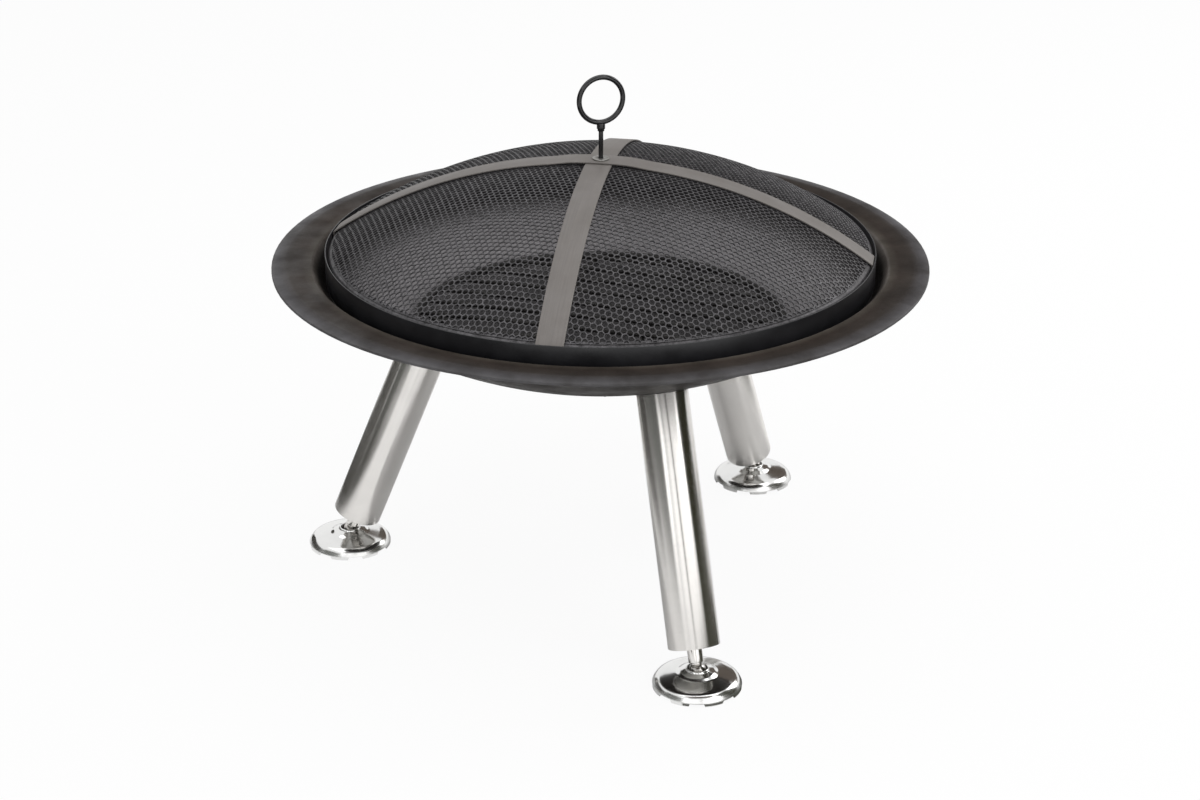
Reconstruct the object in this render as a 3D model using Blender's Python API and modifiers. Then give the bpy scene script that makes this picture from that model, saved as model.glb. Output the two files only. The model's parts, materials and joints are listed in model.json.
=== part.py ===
"""Fire bowl on three raked tube legs, with levelling feet, a log grate and a domed spark screen.

Metres, +Z up. The origin is on the floor, on the bowl's axis. Run it with
blender --background --python part.py, or from Blender's text editor.
"""

import math

import bmesh
import bpy
from mathutils import Matrix, Vector

# Clearance between neighbouring pieces.
GAP = 0.0003

# Bowl: a spherical dish, a steep wall, a brim that rises a little and a turned-down lip.
RIM_RADIUS = 0.350
BRIM_WIDTH = 0.043
BRIM_RISE = 0.0017
CREST_HEIGHT = 0.3693
CREST_ROUND = 0.005
LIP_WIDTH = 0.014
LIP_DROP = 0.0018
LIP_ROUND = 0.010
LIP_DEPTH = 0.0026
WALL_RUN = 0.022
WALL_DEPTH = 0.0272
WALL_FOOT_ROUND = 0.012
DISH_DEPTH = 0.092
BOWL_SHEET = 0.0015

# Legs: square-cut tubes whose axes meet at the centre of the dish's sphere. LEG_INSET is how far
# a leg's axis meets the dish inside the foot of the wall.
LEG_AZIMUTHS = {"front": 270.0, "right": 30.0, "left": 150.0}
LEG_INSET = 0.1032
TUBE_RADIUS = 0.027
TUBE_WALL = 0.0015
TUBE_LIFT = 0.027
TOP_PLATE = 0.005
BOLT_RADIUS = 0.004
BOLT_LENGTH = 0.016
BOLT_HEAD_RADIUS = 0.0070
BOLT_HEAD = 0.0033
BOLT_HOLE_PLAY = 0.0006
WASHER_RADIUS = 0.012
WASHER = 0.0016
PLUG_RECESS = 0.003
PLUG_PLATE = 0.004
PLUG_HUB_RADIUS = 0.013
PLUG_HUB = 0.018

# Feet: a screwed stem with a ball at its end, in a stamped disc with a plastic socket.
STEM_RADIUS = 0.0078
STEM_SPARE = 0.012
STEM_CHAMFER = 0.001
NECK_RADIUS = 0.005
NECK_TOP = 0.001
BALL_RADIUS = 0.0105
INSERT_LIFT = 0.0015
INSERT_PLAY = 0.0064
SOCKET_FLOOR = 0.0026
SOCKET_WALL = 0.0019
SOCKET_DROP = 0.0014
DISC_RADIUS = 0.0464
DISC_SHEET = 0.0013
SKIRT_FLARE = 0.0012
SKIRT_ROUND = 0.0035
SKIRT_FOOT = 0.0012
DOME_FALL = 0.0037
BOSS_HEIGHT = 0.0081
BOSS_WIDTH = 0.0068
BOSS_ROUND = 0.005
BOSS_STEP = 0.001
COLLAR_LIFT = 0.0054
COLLAR_LAND = 0.0022
COLLAR_ROUND = 0.001
NOTCHES = 8
NOTCH_WIDTH = 0.020
NOTCH_HEIGHT = 0.0025

# Log grate: a ring that rests on the dish, bars over the leg bolts and two cross bars below.
GRATE_WIRE = 0.0035
GRATE_TURN = math.radians(-35.0)
BAR_WIRE = 0.0026
BAR_PITCH = 0.036
BOLT_CLEARANCE = 0.003
WASHER_CLEARANCE = 0.0072
WELD_DEPTH = 0.0012

# Spark screen: a band, a domed net, two straps and a ring handle. HOOP_PLAY is between the band
# and the bowl's crest, and HOOP_STAND is how far the band stands above it. NET_PITCH is from the
# middle of one opening to the next, and NET_EDGE is the least from such a middle to the net's rim.
HOOP_PLAY = 0.0135
HOOP_STAND = 0.0137
HOOP_SHEET = 0.0012
NET_RISE = 0.0915
NET_TUCK = 0.001
NET_WIRE = 0.0022
NET_PITCH = 0.036
NET_EDGE = 0.006
NET_TURN = math.radians(21.5)
STRAP_WIDTH = 0.028
STRAP_SHEET = 0.0012
STRAP_TAB = 0.014
LOWER_STRAP_TURN = math.radians(60.0)
UPPER_STRAP_TURN = math.radians(150.0)
RING_RADIUS = 0.02425
RING_WIRE = 0.00275
RING_COLLAR_RADIUS = 0.0045
RING_COLLAR = 0.0095
ROD_RADIUS = 0.0025
ROD_SHOWS = 0.0292
ROD_SPARE = 0.002
HANDLE_WASHER_RADIUS = 0.009
HANDLE_WASHER = 0.0012
NUT_RADIUS = 0.0055
NUT = 0.0045

# Sides and steps of the round shapes. An odd number of strap lengths leaves a flat one at the top.
BOWL_SIDES = 48
DISH_RINGS = 8
TUBE_SIDES = 24
DISC_SIDES = 24
STEM_SIDES = 18
FASTENER_SIDES = 16
ROD_SIDES = 12
WIRE_SIDES = 6
RING_SIDES = 32
RING_WIRE_SIDES = 8
BALL_STEPS = 7
SOCKET_STEPS = 5
HEAD_STEPS = 4
STRAP_LENGTHS = 31
SHARP_EDGE = math.radians(35.0)

# Bowl places that follow from its sizes. DISH_FLOOR is how near the dish's flat facets come to
# the centre of its sphere.
CREST_RADIUS = RIM_RADIUS - BRIM_WIDTH
WALL_FOOT_RADIUS = CREST_RADIUS - WALL_RUN
WALL_FOOT_HEIGHT = CREST_HEIGHT - WALL_DEPTH
DISH_RADIUS = (WALL_FOOT_RADIUS**2 + DISH_DEPTH**2) / (2 * DISH_DEPTH)
DISH_CENTRE = WALL_FOOT_HEIGHT - DISH_DEPTH + DISH_RADIUS
DISH_SLOPE = math.asin(WALL_FOOT_RADIUS / DISH_RADIUS)
DISH_OUTSIDE = DISH_RADIUS + BOWL_SHEET
FACET_ACROSS = WALL_FOOT_RADIUS * math.sin(math.pi / BOWL_SIDES)
FACET_ALONG = DISH_RADIUS * math.sin(DISH_SLOPE / DISH_RINGS / 2)
DISH_FLOOR = math.sqrt(DISH_RADIUS**2 - FACET_ACROSS**2 - FACET_ALONG**2)

# Foot places. Heights are above the floor.
BALL_HEIGHT = INSERT_LIFT + SOCKET_FLOOR + GAP + BALL_RADIUS
COLLAR_HEIGHT = BALL_HEIGHT + COLLAR_LIFT
COLLAR_HOLE = math.sqrt((BALL_RADIUS + GAP) ** 2 - (COLLAR_LIFT - DISC_SHEET) ** 2)
COLLAR_RADIUS = COLLAR_HOLE + COLLAR_LAND
BOSS_FOOT_RADIUS = COLLAR_RADIUS + BOSS_WIDTH
BOSS_FOOT_HEIGHT = COLLAR_HEIGHT - BOSS_HEIGHT
SKIRT_RADIUS = DISC_RADIUS - SKIRT_FLARE
SKIRT_HEIGHT = BOSS_FOOT_HEIGHT - DOME_FALL
INSERT_RADIUS = DISC_RADIUS - INSERT_PLAY

# Leg places. Heights up a leg are from its ball's centre.
LEG_SEAT_RADIUS = WALL_FOOT_RADIUS - LEG_INSET
LEG_TILT = math.asin(LEG_SEAT_RADIUS / DISH_RADIUS)
LEG_REACH = (DISH_CENTRE - BALL_HEIGHT) / math.cos(LEG_TILT)
FOOT_RADIUS = LEG_REACH * math.sin(LEG_TILT)
TUBE_BORE = TUBE_RADIUS - TUBE_WALL
BORE_RADIUS = STEM_RADIUS + GAP
WASHER_SEAT = LEG_REACH - math.sqrt((DISH_FLOOR - GAP) ** 2 - WASHER_RADIUS**2)
BOLT_SEAT = WASHER_SEAT + WASHER + GAP
BOLT_DOME = (BOLT_HEAD_RADIUS**2 + BOLT_HEAD**2) / (2 * BOLT_HEAD)
BOLT_DOME_CENTRE = BOLT_SEAT + BOLT_HEAD - BOLT_DOME

# Log grate places. Its bars pass over the bolts' heads, and its ring rests on the dish.
BOLT_TOP = BALL_HEIGHT + BOLT_DOME_CENTRE * math.cos(LEG_TILT) + BOLT_DOME
GRATE_HEIGHT = BOLT_TOP + BOLT_CLEARANCE + BAR_WIRE
GRATE_RADIUS = math.sqrt((DISH_FLOOR - GAP - GRATE_WIRE) ** 2 - (DISH_CENTRE - GRATE_HEIGHT) ** 2)
CROSS_BAR_HEIGHT = GRATE_HEIGHT - 2 * BAR_WIRE + WELD_DEPTH

# Spark screen places.
HOOP_RADIUS = CREST_RADIUS - HOOP_PLAY
HOOP_BORE = HOOP_RADIUS - HOOP_SHEET
HOOP_TOP = CREST_HEIGHT + HOOP_STAND
TAB_OUTSIDE = math.sqrt(
    (HOOP_BORE * math.cos(math.pi / BOWL_SIDES) - GAP) ** 2 - (STRAP_WIDTH / 2) ** 2
)
NET_RIM_RADIUS = TAB_OUTSIDE - STRAP_SHEET - GAP - NET_WIRE
NET_RIM_HEIGHT = HOOP_TOP - NET_TUCK
NET_TOP = HOOP_TOP + NET_RISE - NET_WIRE / 2
NET_DEPTH = NET_TOP - NET_RIM_HEIGHT
NET_SPHERE = (NET_RIM_RADIUS**2 + NET_DEPTH**2) / (2 * NET_DEPTH)
NET_CENTRE = NET_TOP - NET_SPHERE
STRAP_TOP = HOOP_TOP + NET_RISE + 2 * (GAP + STRAP_SHEET)
COLLAR_BOTTOM = STRAP_TOP + GAP + HANDLE_WASHER + ROD_SHOWS
RING_HEIGHT = COLLAR_BOTTOM + RING_COLLAR + RING_RADIUS


def clear_scene():
    for thing in list(bpy.data.objects):
        bpy.data.objects.remove(thing, do_unlink=True)


def new_collection(name):
    collection = bpy.data.collections.new(name)
    bpy.context.scene.collection.children.link(collection)
    return collection


def finish(name, colour, roughness, metallic):
    """A Principled material."""
    material = bpy.data.materials.new(name)
    material.use_nodes = True
    shader = material.node_tree.nodes["Principled BSDF"]
    shader.inputs["Base Color"].default_value = (*colour, 1.0)
    shader.inputs["Roughness"].default_value = roughness
    shader.inputs["Metallic"].default_value = metallic
    return material


def add_object(name, mesh, collection, material=None, parent=None):
    thing = bpy.data.objects.new(name, mesh)
    collection.objects.link(thing)
    if material:
        mesh.materials.clear()
        mesh.materials.append(material)
    thing.parent = parent
    return thing


def add_empty(name, collection, matrix):
    empty = bpy.data.objects.new(name, None)
    collection.objects.link(empty)
    empty.empty_display_size = 0.02
    empty.matrix_world = matrix
    return empty


def arc(centre, radius, start, end, steps):
    """Points of an arc in a profile. Angles run from +X towards +Z."""
    angles = [start + (end - start) * step / steps for step in range(steps + 1)]
    return [(centre[0] + radius * math.cos(a), centre[1] + radius * math.sin(a)) for a in angles]


def rounded(path, steps=2):
    """A profile through (x, z, rounding) corners, with an arc at each corner that has a rounding."""
    points = []
    for index, (x, z, radius) in enumerate(path):
        if radius == 0:
            points.append((x, z))
            continue
        corner = Vector((x, z))
        back = (Vector(path[index - 1][:2]) - corner).normalized()
        ahead = (Vector(path[index + 1][:2]) - corner).normalized()
        half = back.angle(ahead) / 2
        centre = corner + (back + ahead).normalized() * radius / math.sin(half)
        first = corner + back * radius / math.tan(half) - centre
        last = corner + ahead * radius / math.tan(half) - centre
        start = math.atan2(first.y, first.x)
        turn = math.atan2(first.x * last.y - first.y * last.x, first.dot(last))
        points += arc(centre, radius, start, start + turn, steps)
    return points


def turned(name, profile, sides, closed=False, sheet=0.0):
    """A mesh object: the (radius, height) profile turned about Z, with a wall if sheet is given.

    The profile runs down the outer side, from top to bottom.
    """
    mesh = bpy.data.meshes.new(name)
    points = [(radius, 0.0, height) for radius, height in profile]
    edges = [(index, index + 1) for index in range(len(points) - 1)]
    if closed:
        edges.append((len(points) - 1, 0))
    mesh.from_pydata(points, edges, [])
    thing = bpy.data.objects.new(name, mesh)
    screw = thing.modifiers.new("Turn", "SCREW")
    screw.steps = sides
    screw.render_steps = sides
    screw.use_merge_vertices = True
    screw.merge_threshold = 0.00001
    screw.use_smooth_shade = True
    if sheet:
        wall = thing.modifiers.new("Wall", "SOLIDIFY")
        wall.thickness = sheet
        wall.offset = -1.0
        wall.use_even_offset = True
    return thing


def cylinder(name, radius, bottom, top, sides):
    """An upright cylinder, or a hexagon with six sides, as a mesh object."""
    shape = bmesh.new()
    middle = Matrix.Translation((0, 0, (bottom + top) / 2))
    bmesh.ops.create_cone(
        shape,
        cap_ends=True,
        segments=sides,
        radius1=radius,
        radius2=radius,
        depth=top - bottom,
        matrix=middle,
    )
    mesh = bpy.data.meshes.new(name)
    shape.to_mesh(mesh)
    shape.free()
    return bpy.data.objects.new(name, mesh)


def as_helper(thing, helpers):
    helpers.objects.link(thing)
    thing.hide_render = True
    thing.display_type = "WIRE"
    return thing


def combine(thing, operation, other):
    modifier = thing.modifiers.new(other.name, "BOOLEAN")
    modifier.operation = operation
    modifier.solver = "EXACT"
    modifier.object = other


def mesh_of(thing, helpers):
    """The mesh of an object with its modifiers applied. The object itself is removed."""
    if thing.name not in helpers.objects:
        helpers.objects.link(thing)
    bpy.context.view_layer.update()
    graph = bpy.context.evaluated_depsgraph_get()
    mesh = bpy.data.meshes.new_from_object(thing.evaluated_get(graph))
    name = thing.name
    bpy.data.objects.remove(thing, do_unlink=True)
    mesh.name = name
    mesh.set_sharp_from_angle(angle=SHARP_EDGE)
    return mesh


def dish_width(height):
    """The dish's inner radius at a height above the floor, at least."""
    return math.sqrt(DISH_FLOOR**2 - (DISH_CENTRE - height) ** 2)


def bowl_profile():
    """The bowl's inner face, from the middle of the dish out to the lip."""
    up = -math.pi / 2
    dish = arc((0, DISH_CENTRE), DISH_RADIUS, up, up + DISH_SLOPE, DISH_RINGS)
    inner = dish[-2]
    brim = (RIM_RADIUS - LIP_WIDTH, CREST_HEIGHT + BRIM_RISE)
    edge = (RIM_RADIUS, brim[1] - LIP_DROP)
    path = [
        (*inner, 0),
        (WALL_FOOT_RADIUS, WALL_FOOT_HEIGHT, WALL_FOOT_ROUND),
        (CREST_RADIUS, CREST_HEIGHT, CREST_ROUND),
        (*brim, LIP_ROUND),
        (*edge, 0),
        (RIM_RADIUS, edge[1] - LIP_DEPTH, 0),
    ]
    return dish[:-2] + rounded(path)


def make_bowl(parts, helpers, material):
    bowl = turned("bowl", bowl_profile(), BOWL_SIDES, sheet=BOWL_SHEET)
    parts.objects.link(bowl)
    bowl.data.materials.append(material)
    for side, azimuth in LEG_AZIMUTHS.items():
        radius = BOLT_RADIUS + BOLT_HOLE_PLAY
        bottom = BOLT_SEAT - BOLT_LENGTH
        top = BOLT_SEAT + BOLT_HEAD
        hole = cylinder("bolt_hole_" + side, radius, bottom, top, FASTENER_SIDES)
        as_helper(hole, helpers)
        hole.matrix_world = leg_matrix(azimuth)
        combine(bowl, "DIFFERENCE", hole)
    return bowl


def foot_matrix(azimuth):
    """The foot's upright frame: origin at the ball's centre, +X away from the bowl's axis."""
    turn = Matrix.Rotation(math.radians(azimuth), 4, "Z")
    return turn @ Matrix.Translation((FOOT_RADIUS, 0, BALL_HEIGHT))


def leg_matrix(azimuth):
    """The leg's frame: origin at the ball's centre, +Z up along the tube."""
    return foot_matrix(azimuth) @ Matrix.Rotation(-LEG_TILT, 4, "Y")


def ring_profile(outer, inner, bottom, top):
    return [(inner, top), (outer, top), (outer, bottom), (inner, bottom)]


def tube_mesh(helpers):
    """The tube's inner edge rests on the outside of the dish."""
    top = LEG_REACH - math.sqrt((DISH_OUTSIDE + GAP) ** 2 - TUBE_BORE**2)
    profile = ring_profile(TUBE_RADIUS, TUBE_BORE, TUBE_LIFT, top)
    return mesh_of(turned("leg_tube", profile, TUBE_SIDES, closed=True), helpers)


def top_plate_mesh(helpers):
    top = LEG_REACH - DISH_OUTSIDE - GAP
    profile = ring_profile(TUBE_BORE - GAP, BOLT_RADIUS + GAP, top - TOP_PLATE, top)
    return mesh_of(turned("leg_top_plate", profile, TUBE_SIDES, closed=True), helpers)


def washer_mesh(helpers):
    """A washer whose lower edge rests inside the dish."""
    top = WASHER_SEAT + WASHER
    profile = ring_profile(WASHER_RADIUS, BOLT_RADIUS + GAP, WASHER_SEAT, top)
    return mesh_of(turned("leg_washer", profile, FASTENER_SIDES, closed=True), helpers)


def bolt_mesh(helpers):
    """A round-headed bolt, from its head inside the bowl down through the leg's top plate."""
    edge = math.asin((BOLT_DOME - BOLT_HEAD) / BOLT_DOME)
    profile = arc((0, BOLT_DOME_CENTRE), BOLT_DOME, math.pi / 2, edge, HEAD_STEPS)
    end = BOLT_SEAT - BOLT_LENGTH
    profile += [(BOLT_RADIUS, BOLT_SEAT), (BOLT_RADIUS, end), (0, end)]
    return mesh_of(turned("leg_bolt", profile, FASTENER_SIDES), helpers)


def plug_mesh(helpers):
    """A plate inside the tube's end, with a threaded hub for the stem."""
    bottom = TUBE_LIFT + PLUG_RECESS
    step = bottom + PLUG_PLATE
    profile = [
        (BORE_RADIUS, step + PLUG_HUB),
        (PLUG_HUB_RADIUS, step + PLUG_HUB),
        (PLUG_HUB_RADIUS, step),
        (TUBE_BORE - GAP, step),
        (TUBE_BORE - GAP, bottom),
        (BORE_RADIUS, bottom),
    ]
    return mesh_of(turned("leg_end_plug", profile, STEM_SIDES, closed=True), helpers)


def stem_mesh(helpers):
    """A stem with a shoulder, a neck and a ball about the origin."""
    top = TUBE_LIFT + PLUG_RECESS + PLUG_PLATE + PLUG_HUB + STEM_SPARE
    shoulder = BALL_RADIUS + NECK_TOP
    neck_angle = math.acos(NECK_RADIUS / BALL_RADIUS)
    profile = [
        (0, top),
        (STEM_RADIUS - STEM_CHAMFER, top),
        (STEM_RADIUS, top - STEM_CHAMFER),
        (STEM_RADIUS, shoulder),
        (NECK_RADIUS, shoulder),
    ]
    profile += arc((0, 0), BALL_RADIUS, neck_angle, -math.pi / 2, BALL_STEPS)
    return mesh_of(turned("foot_stem", profile, STEM_SIDES), helpers)


def disc_path():
    """The disc's upper face, from the hole down to the floor."""
    return [
        (COLLAR_HOLE, COLLAR_HEIGHT, 0),
        (COLLAR_RADIUS, COLLAR_HEIGHT, COLLAR_ROUND),
        (BOSS_FOOT_RADIUS - BOSS_ROUND, BOSS_FOOT_HEIGHT + BOSS_STEP, BOSS_ROUND),
        (BOSS_FOOT_RADIUS, BOSS_FOOT_HEIGHT, 0),
        (SKIRT_RADIUS, SKIRT_HEIGHT, SKIRT_ROUND),
        (DISC_RADIUS, SKIRT_FOOT, 0),
        (DISC_RADIUS, 0, 0),
    ]


def disc_mesh(helpers):
    """A stamped disc: collar, boss, low dome and a skirt with notches."""
    profile = [(radius, height - BALL_HEIGHT) for radius, height in rounded(disc_path())]
    disc = turned("foot_disc", profile, DISC_SIDES, sheet=DISC_SHEET)
    helpers.objects.link(disc)
    cutters = []
    for index in range(NOTCHES // 2):
        turn = Matrix.Rotation((2 * index + 1) * math.pi / NOTCHES, 4, "Z")
        size = Matrix.Diagonal((4 * DISC_RADIUS, NOTCH_WIDTH, 2 * NOTCH_HEIGHT, 1))
        shape = bmesh.new()
        low = Matrix.Translation((0, 0, -BALL_HEIGHT))
        bmesh.ops.create_cube(shape, size=1.0, matrix=low @ turn @ size)
        mesh = bpy.data.meshes.new("notch")
        shape.to_mesh(mesh)
        shape.free()
        cutter = as_helper(bpy.data.objects.new("notch_%d" % index, mesh), helpers)
        combine(disc, "DIFFERENCE", cutter)
        cutters.append(cutter)
    mesh = mesh_of(disc, helpers)
    for cutter in cutters:
        bpy.data.objects.remove(cutter)
    return mesh


def disc_underside(radius):
    """Height of the disc's lower face under its low dome, above the floor."""
    slope = DOME_FALL / (SKIRT_RADIUS - BOSS_FOOT_RADIUS)
    outside = BOSS_FOOT_HEIGHT - (radius - BOSS_FOOT_RADIUS) * slope
    return outside - DISC_SHEET * math.hypot(1, slope)


def insert_mesh(helpers):
    """A plastic plate with a socket that holds the ball up against the disc's collar."""
    pocket = BALL_RADIUS + GAP
    mouth = -math.asin(SOCKET_DROP / pocket)
    top = disc_underside(INSERT_RADIUS) - GAP - BALL_HEIGHT
    bottom = INSERT_LIFT - BALL_HEIGHT
    profile = arc((0, 0), pocket, -math.pi / 2, mouth, SOCKET_STEPS)
    profile += [
        (pocket + SOCKET_WALL, -SOCKET_DROP),
        (pocket + SOCKET_WALL, top),
        (INSERT_RADIUS, top),
        (INSERT_RADIUS, bottom),
        (0, bottom),
    ]
    return mesh_of(turned("foot_insert", profile, STEM_SIDES), helpers)


def make_legs(parts, helpers, finishes):
    """Three legs and feet. Each leg's pieces hang on one empty, each foot's on another."""
    leg_pieces = {
        "leg_tube": (tube_mesh(helpers), "tube"),
        "leg_top_plate": (top_plate_mesh(helpers), "fastener"),
        "leg_washer": (washer_mesh(helpers), "fastener"),
        "leg_bolt": (bolt_mesh(helpers), "fastener"),
        "leg_end_plug": (plug_mesh(helpers), "fastener"),
        "foot_stem": (stem_mesh(helpers), "stem"),
    }
    foot_pieces = {
        "foot_disc": (disc_mesh(helpers), "disc"),
        "foot_insert": (insert_mesh(helpers), "insert"),
    }
    for side, azimuth in LEG_AZIMUTHS.items():
        leg = add_empty("leg_axis_" + side, parts, leg_matrix(azimuth))
        foot = add_empty("foot_pivot_" + side, parts, foot_matrix(azimuth))
        for name, (mesh, slot) in leg_pieces.items():
            add_object(name + "_" + side, mesh, parts, finishes[slot], leg)
        for name, (mesh, slot) in foot_pieces.items():
            add_object(name + "_" + side, mesh, parts, finishes[slot], foot)


def rod(name, radius, length, helpers, matrix):
    """A straight wire along the matrix's X axis, as a helper."""
    shape = cylinder(name, radius, -length / 2, length / 2, WIRE_SIDES)
    as_helper(shape, helpers)
    shape.matrix_world = matrix @ Matrix.Rotation(math.pi / 2, 4, "Y")
    return shape


def cross_bar_offset():
    """How far the cross bars are from the grate's middle, clear of the nearest leg washer."""
    turns = [math.radians(azimuth) - GRATE_TURN for azimuth in LEG_AZIMUTHS.values()]
    nearest = min(abs(math.cos(turn)) for turn in turns) * LEG_SEAT_RADIUS
    return nearest - WASHER_RADIUS - WASHER_CLEARANCE - BAR_WIRE


def make_grate(parts, material):
    """The welded grate: a ring, parallel bars in its plane and two cross bars under them."""
    rods = new_collection("grate_rods")
    turn = Matrix.Rotation(GRATE_TURN, 4, "Z")
    side_bars = int((GRATE_RADIUS - GRATE_WIRE - BAR_WIRE) / BAR_PITCH)
    for index in range(-side_bars, side_bars + 1):
        offset = index * BAR_PITCH
        length = 2 * math.sqrt(GRATE_RADIUS**2 - (abs(offset) + BAR_WIRE) ** 2)
        place = turn @ Matrix.Translation((0, offset, GRATE_HEIGHT))
        rod("bar_%d" % (index + side_bars), BAR_WIRE, length, rods, place)
    room = dish_width(CROSS_BAR_HEIGHT - BAR_WIRE) - GRATE_WIRE
    across = Matrix.Rotation(math.pi / 2, 4, "Z")
    for sign in (-1, 1):
        offset = cross_bar_offset()
        length = 2 * math.sqrt(room**2 - (offset + BAR_WIRE) ** 2)
        place = turn @ Matrix.Translation((sign * offset, 0, CROSS_BAR_HEIGHT)) @ across
        rod("cross_bar_%d" % sign, BAR_WIRE, length, rods, place)
    centre = (GRATE_RADIUS, GRATE_HEIGHT)
    circle = arc(centre, GRATE_WIRE, 0, -2 * math.pi, WIRE_SIDES)[:-1]
    grate = turned("log_grate", circle, BOWL_SIDES, closed=True)
    parts.objects.link(grate)
    grate.data.materials.append(material)
    weld = grate.modifiers.new("Weld", "BOOLEAN")
    weld.operation = "UNION"
    weld.solver = "EXACT"
    weld.operand_type = "COLLECTION"
    weld.collection = rods
    return grate


def hoop_bottom():
    """Height of the hoop's lower edge, whose outer corner rests on the bowl's wall."""
    wall_height = CREST_HEIGHT - HOOP_PLAY * WALL_DEPTH / WALL_RUN
    return wall_height + GAP * math.hypot(WALL_DEPTH, WALL_RUN) / WALL_RUN


def make_hoop(parts, material):
    edge = HOOP_SHEET / 3
    bottom = hoop_bottom()
    profile = [
        (HOOP_BORE + edge, HOOP_TOP),
        (HOOP_RADIUS - edge, HOOP_TOP),
        (HOOP_RADIUS, HOOP_TOP - edge),
        (HOOP_RADIUS, bottom),
        (HOOP_BORE, bottom),
        (HOOP_BORE, HOOP_TOP - edge),
    ]
    hoop = turned("screen_hoop", profile, BOWL_SIDES, closed=True)
    parts.objects.link(hoop)
    hoop.data.materials.append(material)
    return hoop


def net_surface():
    """One face for each opening of the net: hexagons laid over the dome, a joint at its middle."""
    shape = bmesh.new()
    corner = NET_PITCH / math.sqrt(3)
    row_step = NET_PITCH * math.sqrt(3) / 2
    count = math.ceil(NET_RIM_RADIUS / row_step)
    for row in range(-count, count + 1):
        for column in range(-count, count + 1):
            centre = (NET_PITCH * (column + row % 2 / 2), corner + row * row_step, 0)
            if math.hypot(*centre) < NET_RIM_RADIUS - NET_EDGE:
                place = Matrix.Translation(centre)
                bmesh.ops.create_circle(
                    shape, cap_ends=True, segments=6, radius=corner, matrix=place
                )
    bmesh.ops.remove_doubles(shape, verts=shape.verts, dist=NET_WIRE)
    turn = Matrix.Rotation(NET_TURN, 4, "Z")
    bmesh.ops.transform(shape, matrix=turn, verts=shape.verts)
    for vertex in shape.verts:
        if vertex.is_boundary:
            vertex.co = vertex.co.normalized() * NET_RIM_RADIUS
        vertex.co.z = NET_CENTRE + math.sqrt(NET_SPHERE**2 - vertex.co.length_squared)
    mesh = bpy.data.meshes.new("screen_net")
    shape.to_mesh(mesh)
    shape.free()
    return mesh


def make_net(parts, helpers, material):
    """The net as strands round its openings, with a hole at the top for the handle's rod."""
    net = add_object("screen_net", net_surface(), parts, material)
    strands = net.modifiers.new("Strands", "WIREFRAME")
    strands.thickness = NET_WIRE
    strands.use_even_offset = True
    strands.use_boundary = True
    strands.use_replace = True
    hole = cylinder("rod_hole", ROD_RADIUS + GAP, HOOP_TOP, RING_HEIGHT, ROD_SIDES)
    combine(net, "DIFFERENCE", as_helper(hole, helpers))
    return net


def strap_path(lift):
    """A strap's lower face in its own plane, from tab to tab, raised by lift at the crossing."""
    tab = TAB_OUTSIDE - STRAP_SHEET
    over = NET_SPHERE + NET_WIRE / 2 + GAP
    reach = math.asin(tab / over)
    over = over / math.cos(reach / STRAP_LENGTHS)
    reach = math.asin(tab / over)
    points = []
    for step in range(STRAP_LENGTHS + 1):
        angle = reach * (2 * step / STRAP_LENGTHS - 1)
        away = abs(angle) * over / STRAP_WIDTH
        ramp = min(max(2 - away, 0), 1)
        raised = lift * ramp * ramp * (3 - 2 * ramp)
        points.append(((over + raised) * math.sin(angle), (over + raised) * math.cos(angle)))
    top_of_tab = points[0][1] + NET_CENTRE
    path = [(x, z + NET_CENTRE) for x, z in points]
    bottom = top_of_tab - STRAP_TAB
    return [(-tab, bottom)] + path + [(tab, bottom)]


def make_strap(name, turn, lift, parts, helpers, material):
    """A strip along the path, given its thickness by Solidify, with a hole for the rod."""
    shape = bmesh.new()
    half = STRAP_WIDTH / 2
    rows = [shape.verts.new((x, half, z)) for x, z in strap_path(lift)]
    edges = [shape.edges.new(pair) for pair in zip(rows, rows[1:])]
    swept = bmesh.ops.extrude_edge_only(shape, edges=edges)
    moved = [part for part in swept["geom"] if isinstance(part, bmesh.types.BMVert)]
    bmesh.ops.translate(shape, vec=(0, -STRAP_WIDTH, 0), verts=moved)
    bmesh.ops.recalc_face_normals(shape, faces=shape.faces)
    if sum(face.normal.z for face in shape.faces) < 0:
        bmesh.ops.reverse_faces(shape, faces=shape.faces)
    mesh = bpy.data.meshes.new(name)
    shape.to_mesh(mesh)
    shape.free()
    strap = add_object(name, mesh, parts, material)
    strap.rotation_euler.z = turn
    wall = strap.modifiers.new("Wall", "SOLIDIFY")
    wall.thickness = STRAP_SHEET
    wall.offset = 1.0
    wall.use_even_offset = True
    hole = cylinder(name + "_hole", ROD_RADIUS + GAP, HOOP_TOP, RING_HEIGHT, ROD_SIDES)
    combine(strap, "DIFFERENCE", as_helper(hole, helpers))
    return strap


def handle_washer(name, bottom, parts, material):
    top = bottom + HANDLE_WASHER
    profile = ring_profile(HANDLE_WASHER_RADIUS, ROD_RADIUS + GAP, bottom, top)
    washer = turned(name, profile, FASTENER_SIDES, closed=True)
    parts.objects.link(washer)
    washer.data.materials.append(material)


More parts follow.
